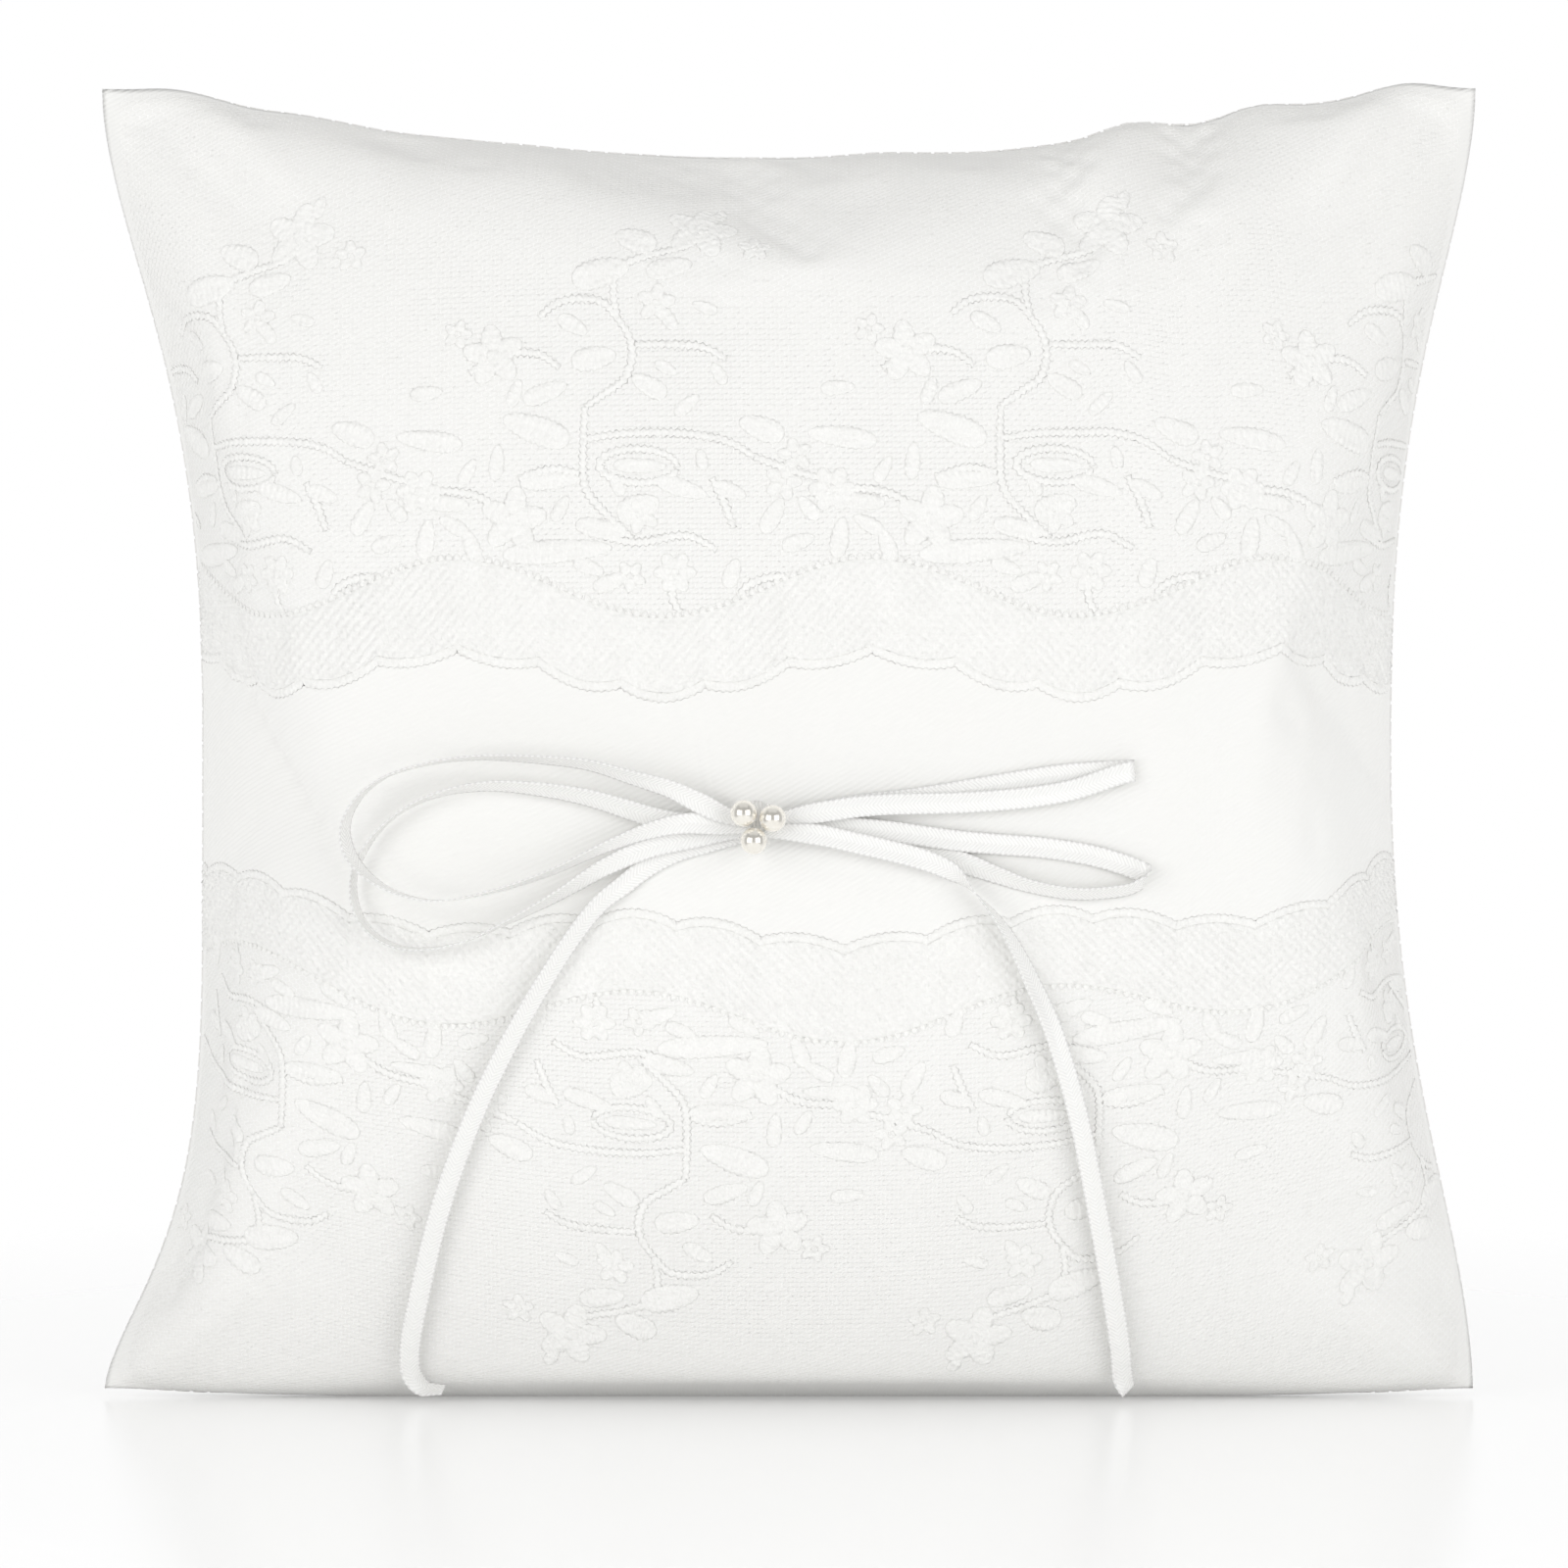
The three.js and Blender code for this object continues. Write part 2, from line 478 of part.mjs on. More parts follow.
// Three pearls in a close triangle. Each bore runs round the triangle, parallel to the panel.
function pearlPieces() {
  const group = new THREE.Group();
  const clusterRadius = PEARL_SPACING / Math.sqrt(3);
  const threadLength = PEARL_DIAMETER + 2 * PEARL_THREAD_OVERHANG;
  const threadGeometry = new THREE.CylinderGeometry(
    PEARL_THREAD_RADIUS, PEARL_THREAD_RADIUS, threadLength, PEARL_THREAD_SIDES);
  group.position.set(PEARLS_X, frontY(BOW_X, BOW_Z) - PEARL_LIFT, PEARLS_Z);
  PEARL_TURNS.forEach((turn, i) => {
    const holder = new THREE.Group();
    const angle = THREE.MathUtils.degToRad(turn);
    holder.position.set(clusterRadius * Math.cos(angle), 0, clusterRadius * Math.sin(angle));
    holder.rotation.y = -angle;
    const bead = namedMesh(`pearl_${i + 1}`, pearlGeometry(), pearl());
    const strand = namedMesh(`pearl_thread_${i + 1}`, threadGeometry, thread());
    bead.rotation.x = Math.PI / 2;
    strand.rotation.x = Math.PI / 2;
    holder.add(bead, strand);
    group.add(holder);
  });
  return group;
}

// ---------------------------------------------------------------- the whole object

const pillow = new THREE.Group();
const front = new THREE.Group();
const back = new THREE.Group();
back.rotation.z = Math.PI;

front.add(satinPanel('satin_front'));
front.add(...lacePieces('upper', UPPER_LACE, -1));
front.add(...lacePieces('lower', LOWER_LACE, 1));
front.add(...sprays('upper', SPRAY_UPPER_AT, -1));
front.add(...sprays('lower', SPRAY_LOWER_AT, 1));
front.add(ribbonPiece('ribbon_loop_left_upper', LOOP_LEFT_UPPER));
front.add(ribbonPiece('ribbon_loop_left_lower', LOOP_LEFT_LOWER));
front.add(ribbonPiece('ribbon_loop_right_upper', LOOP_RIGHT_UPPER));
front.add(ribbonPiece('ribbon_loop_right_lower', LOOP_RIGHT_LOWER));
front.add(ribbonPiece('ribbon_tail_left', TAIL_LEFT));
front.add(ribbonPiece('ribbon_tail_right', TAIL_RIGHT));
front.add(bowStitch(), pearlPieces());

back.add(satinPanel('satin_back'), closingStitches());
pillow.add(front, back, stuffing(), seamThread());

// The pearls stand further out than the back panel does, so the object moves back by half the
// difference, which puts the origin under the middle of its box.
const frontReach = -frontY(BOW_X, BOW_Z) + PEARL_LIFT + PEARL_DIAMETER / 2;
const backReach = CROWN_HALF_THICKNESS + SEAM_SETBACK;
pillow.position.y = (frontReach - backReach) / 2;

export default pillow;
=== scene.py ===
"""Ring bearer pillow: a satin cushion with two pieces of embroidered net lace, a ribbon bow and pearls.

Metres, +Z up, the decorated front faces -Y. The cushion's two panels are cut flat, sewn at their
edges and blown up by a cloth simulation. Everything on the front then lies on that surface: the net
is real mesh, and so are the embroidery, the scalloped edges, the ribbon and its woven borders.
"""
import math

import bmesh
import bpy
import numpy as np
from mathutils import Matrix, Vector
from mathutils.bvhtree import BVHTree


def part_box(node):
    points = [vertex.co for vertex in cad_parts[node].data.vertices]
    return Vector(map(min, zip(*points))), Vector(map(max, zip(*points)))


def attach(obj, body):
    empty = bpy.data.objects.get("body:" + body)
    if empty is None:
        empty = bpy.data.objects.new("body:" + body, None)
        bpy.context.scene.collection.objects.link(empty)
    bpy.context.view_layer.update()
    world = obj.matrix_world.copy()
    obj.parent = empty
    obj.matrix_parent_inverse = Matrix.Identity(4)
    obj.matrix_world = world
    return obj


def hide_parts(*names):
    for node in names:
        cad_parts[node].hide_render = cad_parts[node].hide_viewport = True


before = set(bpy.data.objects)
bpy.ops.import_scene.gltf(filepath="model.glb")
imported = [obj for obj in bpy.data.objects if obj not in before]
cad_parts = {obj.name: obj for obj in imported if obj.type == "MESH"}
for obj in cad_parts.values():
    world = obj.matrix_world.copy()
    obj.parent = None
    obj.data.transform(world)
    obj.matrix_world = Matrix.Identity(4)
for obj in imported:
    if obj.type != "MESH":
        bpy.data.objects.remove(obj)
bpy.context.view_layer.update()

MM = 0.001


# ------------------------------------------------------------------ driving dimensions

# The cushion's outline and crown, as in the CAD source. The seam lies in the plane y = SEAM_Y.
panel_low, panel_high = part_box("satin_front")
thread_low, thread_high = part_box("seam_thread")
SEAM_Y = (thread_low.y + thread_high.y) / 2
CORNER_HALF_WIDTH = panel_high.x
CORNER_HEIGHT = panel_high.z
LEFT_WAIST = 85.3 * MM
RIGHT_WAIST = 87.6 * MM
WAIST_HEIGHT = 180.3 * MM
BASE_SAG = 12 * MM
# How late each side turns out to its corners. A higher number keeps it straight for longer.
UPPER_PULL = 2.6
LOWER_LEFT_PULL = 5.0
LOWER_RIGHT_PULL = 2.2
TOP_PULL = 2.25
# Where the top seam is not smooth: place and width as shares of its half, and rise in millimetres.
TOP_PUCKERS = [
    [0.5, 0.06, 1.7], [0.68, 0.06, 1.4], [0.9, 0.06, 1.3], [0.14, 0.08, 0.5], [-0.6, 0.14, -0.6],
    [-0.78, 0.06, -0.6], [-0.9, 0.05, 0.5],
]
CROWN_POWER = 2.2
CROWN_FULLNESS = 0.6
SEAM_HALF_GAP = 0.3 * MM
SEAM_SETBACK = 0.35 * MM
CROWN_HALF_THICKNESS = SEAM_Y - SEAM_SETBACK - panel_low.y
SATIN_THICKNESS = 0.35 * MM
FLOOR_CLEARANCE = 0.05 * MM

# The panels as they are cut. Places on them are shares s across and t upwards, from -1 to 1.
PANEL_WIDTH = 200 * MM
PANEL_HEIGHT = 200 * MM

# The ribbon. Picots are the tiny loops of its woven edges. Its herringbone meets in the middle.
RIBBON_WIDTH = 3 * MM
RIBBON_THICKNESS = 0.16 * MM
PICOT_PITCH = 0.84 * MM
HERRINGBONE_PITCH = 0.58 * MM


# ------------------------------------------------------------------ camera

LENS_MM = 300
SENSOR_MM = 36
VIEW_WIDTH = 228.4 * MM
VIEW_ELEVATION = math.radians(2.2)
VIEW_TARGET = Vector((-0.7 * MM, SEAM_Y, 89.3 * MM))


def make_camera():
    """A long lens from the front, a little above level."""
    camera = bpy.data.objects.new("camera", bpy.data.cameras.new("camera"))
    bpy.context.scene.collection.objects.link(camera)
    camera.data.lens = LENS_MM
    camera.data.sensor_width = SENSOR_MM
    camera.data.clip_start = 0.05
    camera.data.clip_end = 50
    away = Vector((0, -math.cos(VIEW_ELEVATION), math.sin(VIEW_ELEVATION)))
    camera.location = VIEW_TARGET + away * (VIEW_WIDTH * LENS_MM / SENSOR_MM)
    camera.rotation_euler = (math.pi / 2 - VIEW_ELEVATION, 0, 0)
    bpy.context.scene.camera = camera


# ------------------------------------------------------------------ mesh helpers

def face_outwards(mesh):
    shape = bmesh.new()
    shape.from_mesh(mesh)
    bmesh.ops.recalc_face_normals(shape, faces=shape.faces)
    shape.to_mesh(mesh)
    shape.free()


def make_piece(name, shape, slot):
    """An object from (points, faces), riding on the one body. Only the nets are open sheets."""
    points, faces = shape
    mesh = bpy.data.meshes.new(name)
    mesh.from_pydata(points.reshape(-1, 3).tolist(), [], faces)
    if slot != "net":
        face_outwards(mesh)
        mesh.shade_smooth()
    mesh.update()
    piece = bpy.data.objects.new(name, mesh)
    bpy.context.scene.collection.objects.link(piece)
    mesh.materials.append(MATERIALS[slot])
    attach(piece, "root")
    return piece


def grid_quads(rows, columns, wrap=False):
    """Quads of a grid of points. With wrap, its last column joins its first."""
    index = np.arange(rows * columns).reshape(rows, columns)
    if wrap:
        index = np.hstack([index, index[:, :1]])
    corners = [index[:-1, :-1], index[1:, :-1], index[1:, 1:], index[:-1, 1:]]
    return np.stack(corners, -1).reshape(-1, 4)


def shell(outer, inner):
    """Points and faces of a closed shell between two grids of the same size."""
    rows, columns = outer.shape[:2]
    count = rows * columns
    index = np.arange(count).reshape(rows, columns)
    rim = np.concatenate([index[0, :-1], index[:-1, -1], index[-1, :0:-1], index[:0:-1, 0]])
    ahead = np.roll(rim, -1)
    walls = np.stack([rim, ahead, ahead + count, rim + count], -1)
    front = grid_quads(rows, columns)
    back = count + front[:, ::-1]
    points = np.vstack([outer.reshape(-1, 3), inner.reshape(-1, 3)])
    return points, np.vstack([front, back, walls]).tolist()


def tube(rings):
    """Points and faces of a closed tube through its rings of points, with a cap at each end."""
    count, sides = rings.shape[:2]
    last = (count - 1) * sides
    caps = [list(range(sides)), list(range(last, last + sides))]
    return rings, grid_quads(count, sides, wrap=True).tolist() + caps


def join_pieces(parts):
    """Points and faces of several closed pieces as one."""
    points, faces, start = [], [], 0
    for part_points, part_faces in parts:
        points.append(part_points.reshape(-1, 3))
        faces += [[index + start for index in face] for face in part_faces]
        start += len(points[-1])
    return np.vstack(points), faces


def add_weave(piece, name, along, across):
    """Stores where each point of a shell is on its flat cloth, for materials that follow the weave."""
    flat = np.stack(np.broadcast_arrays(along, across, 0.0), -1).reshape(-1, 3)
    attribute = piece.data.attributes.new(name, "FLOAT_VECTOR", "POINT")
    attribute.data.foreach_set("vector", np.vstack([flat, flat]).astype(np.float32).ravel())


def square_grid(shares):
    """Two square arrays: one share runs along their rows, and one along their columns."""
    return np.meshgrid(shares, shares, indexing="ij")


def unit(vectors):
    return vectors / np.maximum(np.linalg.norm(vectors, axis=-1, keepdims=True), 1e-12)


def lengths_along(line):
    """The length of a line of points up to each of them."""
    return np.r_[0, np.cumsum(np.linalg.norm(np.diff(line, axis=0), axis=1))]


def smooth_step(t):
    t = np.clip(t, 0, 1)
    return t * t * (3 - 2 * t)


def curve_points(points, steps_per_point):
    """A centripetal curve through the points, as three.js draws it."""
    points = np.asarray(points, float)
    padded = np.vstack([2 * points[0] - points[1], points, 2 * points[-1] - points[-2]])
    result = []
    for i in range(1, len(padded) - 2):
        p0, p1, p2, p3 = padded[i - 1:i + 3]
        steps = ((p0, p1), (p1, p2), (p2, p3))
        d1, d2, d3 = (max(np.linalg.norm(b - a), 1e-9) ** 0.5 for a, b in steps)
        tangent1 = ((p1 - p0) / d1 - (p2 - p0) / (d1 + d2) + (p2 - p1) / d2) * d2
        tangent2 = ((p2 - p1) / d2 - (p3 - p1) / (d2 + d3) + (p3 - p2) / d3) * d2
        t = np.arange(steps_per_point)[:, None] / steps_per_point
        result.append(
            (2 * t**3 - 3 * t**2 + 1) * p1 + (t**3 - 2 * t**2 + t) * tangent1
            + (3 * t**2 - 2 * t**3) * p2 + (t**3 - t**2) * tangent2
        )
    return np.vstack([*result, padded[-2:-1]])


def even_points(points, spacing):
    """The same line with its points spread evenly."""
    length = lengths_along(points)
    count = max(int(round(length[-1] / spacing)), 4) + 1
    places = np.linspace(0, length[-1], count)
    return np.stack([np.interp(places, length, points[:, k]) for k in range(points.shape[1])], -1)


# ------------------------------------------------------------------ materials

class Nodes:
    """Adds nodes to one tree. An input is a number, a colour or another node's output."""

    def __init__(self, tree):
        self.tree = tree

    def connect(self, node, inputs):
        for key, value in inputs.items():
            if isinstance(value, bpy.types.NodeSocket):
                self.tree.links.new(value, node.inputs[key])
            else:
                node.inputs[key].default_value = value

    def add(self, kind, inputs=None, **settings):
        node = self.tree.nodes.new("ShaderNode" + kind)
        for key, value in settings.items():
            setattr(node, key, value)
        self.connect(node, inputs or {})
        return node

    def math(self, operation, *inputs):
        return self.add("Math", dict(enumerate(inputs)), operation=operation).outputs[0]

    def remap(self, value, low, high, new_low=0, new_high=1, **settings):
        inputs = {
            "Value": value, "From Min": low, "From Max": high, "To Min": new_low, "To Max": new_high,
        }
        return self.add("MapRange", inputs, **settings).outputs["Result"]

    def mapped(self, vector, **inputs):
        return self.add("Mapping", {"Vector": vector, **inputs}).outputs["Vector"]

    def noise(self, vector, **inputs):
        return self.add("TexNoise", {"Vector": vector, **inputs}).outputs["Fac"]

    def mix(self, share, first, second):
        inputs = {"Factor": share, "A": first, "B": second}
        return self.add("Mix", inputs, data_type="RGBA").outputs["Result"]

    def bump(self, height, strength, distance, normal=None):
        inputs = {"Height": height, "Strength": strength, "Distance": distance}
        if normal is not None:
            inputs["Normal"] = normal
        return self.add("Bump", inputs).outputs["Normal"]

    def drifting_colour(self, vector, scale, dark, light):
        """Colour that drifts between two close tones."""
        ramp = self.add("ValToRGB", {"Fac": self.noise(vector, Scale=scale, Detail=3, Roughness=0.6)})
        for element, place, tone in zip(ramp.color_ramp.elements, (0.3, 0.7), (dark, light)):
            element.position = place
            element.color = (*tone, 1)
        return ramp.outputs["Color"]


def new_material(name):
    """An empty material, its Principled shader and its nodes."""
    material = bpy.data.materials.new(name)
    material.use_nodes = True
    tree = material.node_tree
    return material, tree.nodes["Principled BSDF"], Nodes(tree)


TWILL_ANGLE = math.radians(63)
CREASE_TILT = math.radians(-9)
CREASE_OFFSET = 11.5 * MM
CREASE_HALF = 0.9 * MM


def satin_material():
    """Polyester satin: smooth, with a fine diagonal twill and faint streaks along its warp."""
    material, shader, nodes = new_material("satin")
    cloth = nodes.add("Attribute", attribute_name="cloth").outputs["Vector"]
    twill_space = nodes.mapped(cloth, Rotation=(0, 0, TWILL_ANGLE))
    twill = nodes.add("TexWave", {
        "Vector": twill_space, "Scale": 480, "Distortion": 0.6, "Detail": 1, "Detail Scale": 2,
    })
    streaks = nodes.noise(nodes.mapped(cloth, Scale=(1, 0.06, 1)), Scale=1500, Detail=2)
    # A faint crease runs down the middle of the bare band, from being folded.
    tilted = nodes.mapped(cloth, Rotation=(0, 0, CREASE_TILT), Location=(CREASE_OFFSET, 0, 0))
    aside = nodes.math("ABSOLUTE", nodes.add("SeparateXYZ", {"Vector": tilted}).outputs["X"])
    crease = nodes.remap(aside, 0, CREASE_HALF, 1, 0, interpolation_type="SMOOTHSTEP")
    woven = nodes.bump(twill.outputs["Fac"], 0.3, 0.14 * MM)
    worn = nodes.bump(streaks, 0.06, 0.15 * MM, woven)
    nodes.connect(shader, {
        "Base Color": nodes.drifting_colour(cloth, 18, (0.9, 0.896, 0.874), (0.915, 0.912, 0.892)),
        "Normal": nodes.bump(crease, 0.5, 0.1 * MM, worn),
        "Roughness": nodes.remap(streaks, 0, 1, 0.44, 0.56),
        "Specular IOR Level": 0.3,
        "Sheen Weight": 0.12,
        "Sheen Roughness": 0.4,
    })
    return material


def thread_material(name, dark, light, roughness, bead_scale, bump):
    """Close rows of fine thread: two near tones, with every stitch a low rounded bead."""
    material, shader, nodes = new_material(name)
    place = nodes.add("TexCoord").outputs["Object"]
    beads = nodes.add("TexVoronoi", {"Vector": place, "Scale": bead_scale, "Randomness": 0.85})
    strands = nodes.noise(place, Scale=3.2 * bead_scale, Detail=2)
    rounded = nodes.math("MULTIPLY", beads.outputs["Distance"], -1)
    height = nodes.math("MULTIPLY_ADD", strands, 0.5, rounded)
    nodes.connect(shader, {
        "Base Color": nodes.drifting_colour(place, 260, dark, light),
        "Normal": nodes.bump(height, bump, 0.3 * MM),
        "Roughness": roughness,
        "Sheen Weight": 0.2,
        "Sheen Roughness": 0.5,
    })
    return material


def ribbon_material():
    """Double-faced satin ribbon: a herringbone of fine diagonals and a duller woven edge."""
    material, shader, nodes = new_material("ribbon")
    weave = nodes.add("Attribute", attribute_name="weave").outputs["Vector"]
    parts = nodes.add("SeparateXYZ", {"Vector": weave})
    along = parts.outputs["X"]
    aside = nodes.math("ABSOLUTE", parts.outputs["Y"])
    slant = nodes.math("MULTIPLY_ADD", aside, 0.9, along)
    ribs = nodes.math("SINE", nodes.math("MULTIPLY", slant, 2 * math.pi / HERRINGBONE_PITCH))
    dashes = nodes.math("SINE", nodes.math("MULTIPLY", along, 2 * math.pi / PICOT_PITCH))
    ribs_share = nodes.remap(ribs, -1, 1)
    ribs_colour = nodes.mix(ribs_share, (0.865, 0.862, 0.845, 1), (0.965, 0.962, 0.945, 1))
    dashes_share = nodes.remap(dashes, -0.3, 0.3)
    edge_colour = nodes.mix(dashes_share, (0.82, 0.815, 0.8, 1), (0.95, 0.947, 0.935, 1))
    edge = nodes.remap(aside, 1.1 * MM, 1.2 * MM)
    nodes.connect(shader, {
        "Base Color": nodes.mix(edge, ribs_colour, edge_colour),
        "Normal": nodes.bump(ribs, 0.4, 0.05 * MM),
        "Roughness": nodes.remap(edge, 0, 1, 0.26, 0.6),
        "Specular IOR Level": 1,
        "Coat Weight": 0.6,
        "Coat Roughness": 0.25,
    })
    return material


def pearl_material():
    """Ivory pearl: a glossy coat over a nacre body whose tone drifts a little."""
    material, shader, nodes = new_material("pearl")
    place = nodes.add("TexCoord").outputs["Object"]
    nodes.connect(shader, {
        "Base Color": nodes.drifting_colour(place, 700, (0.93, 0.893, 0.815), (0.97, 0.94, 0.875)),
        "Roughness": 0.14,
        "Metallic": 0.6,
        "Coat Weight": 1,
        "Coat Roughness": 0.03,
        "Coat IOR": 1.7,
    })
    return material


def fibre_material():
    """Polyester fibre fill: a tangle of bright fibres."""
    material, shader, nodes = new_material("stuffing")
    place = nodes.add("TexCoord").outputs["Object"]
    tangle = nodes.noise(place, Scale=900, Detail=6, Distortion=2)
    nodes.connect(shader, {
        "Base Color": nodes.drifting_colour(place, 120, (0.8, 0.8, 0.79), (0.94, 0.94, 0.93)),
        "Normal": nodes.bump(tangle, 0.8, 0.5 * MM),
        "Roughness": 0.95,
    })
    return material


EMBROIDERY_TONES = (0.918, 0.915, 0.893), (0.946, 0.943, 0.923)
MATERIALS = {
    "satin": satin_material(),
    "net": thread_material("net", (0.97, 0.966, 0.95), (0.985, 0.983, 0.97), 0.7, 2600, 0.1),
    "embroidery": thread_material("embroidery", *EMBROIDERY_TONES, 0.6, 1150, 0.75),
    "thread": thread_material("thread", (0.86, 0.85, 0.82), (0.93, 0.92, 0.9), 0.6, 2400, 0.4),
    "ribbon": ribbon_material(),
    "pearl": pearl_material(),
    "stuffing": fibre_material(),
}


# ------------------------------------------------------------------ the cushion's surface

def pull(t, power):
    """How far a side is drawn out to its corners: 0 at its middle, 1 at its ends, flat there."""
    return np.sin(math.pi / 2 * np.abs(t) ** power)


def half_width(u, v):
    """From the middle out to the sides. The left and the right side have their own shapes."""
    sides = []
    for waist, lower_pull in ((LEFT_WAIST, LOWER_LEFT_PULL), (RIGHT_WAIST, LOWER_RIGHT_PULL)):
        drawn_out = np.where(v > 0, pull(v, UPPER_PULL), pull(v, lower_pull))
        sides.append(waist + (CORNER_HALF_WIDTH - waist) * drawn_out)
    left, right = sides
    return left + (right - left) * smooth_step((u + 1) / 2)


def top_seam(u):
    """The height of the top seam, with the puckers of its stitching."""
    height = WAIST_HEIGHT + (CORNER_HEIGHT - WAIST_HEIGHT) * pull(u, TOP_PULL)
    for place, width, rise in TOP_PUCKERS:
        height = height + rise * MM * np.exp(-(((u - place) / width) ** 2))
    return height


def lower_seam(u):
    """The height of the lower seam before the floor presses it: it sags in the middle."""
    return -BASE_SAG * (1 - pull(u, TOP_PULL))


def ideal_point(u, v):
    """The front panel before the floor presses it, with the seam plane at y = 0."""
    inside = np.maximum((1 - np.abs(u) ** CROWN_POWER) * (1 - np.abs(v) ** CROWN_POWER), 0)
    middle = (top_seam(u) + lower_seam(u)) / 2
    reach = (top_seam(u) - lower_seam(u)) / 2
    depth = CROWN_HALF_THICKNESS * inside ** CROWN_FULLNESS
    return np.stack([u * half_width(u, v), -depth, middle + v * reach], -1)


SIMULATION_POINTS = 81
SHARES = np.linspace(-1, 1, SIMULATION_POINTS)


def even_parameters():
    """u and v of a grid whose rows and columns have evenly spaced points along the cloth."""
    fine = np.linspace(-1, 1, 401)
    middle = SIMULATION_POINTS // 2
    u, v = square_grid(np.sin(SHARES * math.pi / 2))
    for _ in range(3):
        new_u, new_v = np.empty_like(u), np.empty_like(v)
        for k in range(SIMULATION_POINTS):
            row = ideal_point(fine, np.full_like(fine, v[middle, k]))
            column = ideal_point(np.full_like(fine, u[k, middle]), fine)
            for line, result in ((row, new_u[:, k]), (column, new_v[k, :])):
                length = lengths_along(line)
                result[:] = np.interp((SHARES + 1) / 2 * length[-1], length, fine)
        u, v = new_u, new_v
    return u, v


CLOTH_FRAMES = 15
CLOTH_PRESSURE = 5
CLOTH_STIFFNESS = 40
CLOTH_BENDING = 0.05
CLOTH_MASS = 0.02
START_SHARE = 0.9


def simulate_cover(ideal):
    """Blows up two flat panels that are sewn together at their edges. Returns both as grids."""
    side = SIMULATION_POINTS
    count = side * side
    index = np.arange(count).reshape(side, side)
    inner = np.zeros((side, side), bool)
    inner[1:-1, 1:-1] = True
    back_index = index.copy()
    back_index[inner] = count + np.arange(inner.sum())
    start = ideal * (1, START_SHARE, 1)
    start_back = start * (1, -1, 1)
    across, up = square_grid(SHARES / 2)
    flat = np.stack([across * PANEL_WIDTH, 0 * across, CORNER_HEIGHT / 2 + up * PANEL_HEIGHT], -1)
    points = np.vstack([start.reshape(-1, 3), start_back[inner]])
    cut = np.vstack([flat.reshape(-1, 3), flat[inner] + (0, 0.1 * MM, 0)])
    front_faces = grid_quads(side, side)
    back_faces = back_index.ravel()[front_faces[:, [0, 3, 2, 1]]]
    faces = np.vstack([front_faces, back_faces])

    mesh = bpy.data.meshes.new("cover_being_simulated")
    mesh.from_pydata(points.tolist(), [], faces.tolist())
    cover = bpy.data.objects.new("cover_being_simulated", mesh)
    bpy.context.scene.collection.objects.link(cover)
    cover.shape_key_add(name="start")
    key = cover.shape_key_add(name="cut")
    key.data.foreach_set("co", cut.astype(np.float32).ravel())
    key.value = 0
    cloth = cover.modifiers.new("cloth", "CLOTH")
    cloth.settings.quality = 6
    cloth.settings.mass = CLOTH_MASS
    cloth.settings.tension_stiffness = CLOTH_STIFFNESS
    cloth.settings.compression_stiffness = CLOTH_STIFFNESS
    cloth.settings.shear_stiffness = CLOTH_STIFFNESS / 3
    cloth.settings.bending_stiffness = CLOTH_BENDING
    cloth.settings.use_pressure = True
    cloth.settings.uniform_pressure_force = CLOTH_PRESSURE
    cloth.settings.rest_shape_key = key
    cloth.settings.effector_weights.gravity = 0
    cloth.collision_settings.use_collision = False
    scene = bpy.context.scene
    for step in range(1, CLOTH_FRAMES + 1):
        scene.frame_set(step)
    blown = cover.evaluated_get(bpy.context.evaluated_depsgraph_get()).data
    result = np.empty(len(points) * 3, np.float32)
    blown.vertices.foreach_get("co", result)
    result = result.reshape(-1, 3).astype(float)
    bpy.data.objects.remove(cover)
    scene.frame_set(1)
    return result[index], result[back_index]


def spread_from_edges(change):
    """A Coons patch: fills a grid smoothly from what its four edges say."""
    share = (SHARES + 1) / 2
    s, t = share[:, None, None], share[None, :, None]
    left, right, low, high = change[:1], change[-1:], change[:, :1], change[:, -1:]
    corners = (
        (1 - s) * (1 - t) * change[0, 0] + s * (1 - t) * change[-1, 0]
        + (1 - s) * t * change[0, -1] + s * t * change[-1, -1]
    )
    return (1 - s) * left + s * right + (1 - t) * low + t * high - corners


FLOOR_LIFT = 3.2 * MM
FLOOR_REACH = 9 * MM
FLOOR_SOFTNESS = 1.6 * MM


def rest_on_floor(grid):
    """Presses the base so that it stands on its seam and rises a little in front and behind."""
    depth = np.abs(grid[..., 1])
    floor = FLOOR_LIFT * (1 - np.exp(-(depth / FLOOR_REACH) ** 2))
    over = (grid[..., 2] - floor) / FLOOR_SOFTNESS
    grid[..., 2] = floor + FLOOR_SOFTNESS * np.logaddexp(0, over)
    return grid


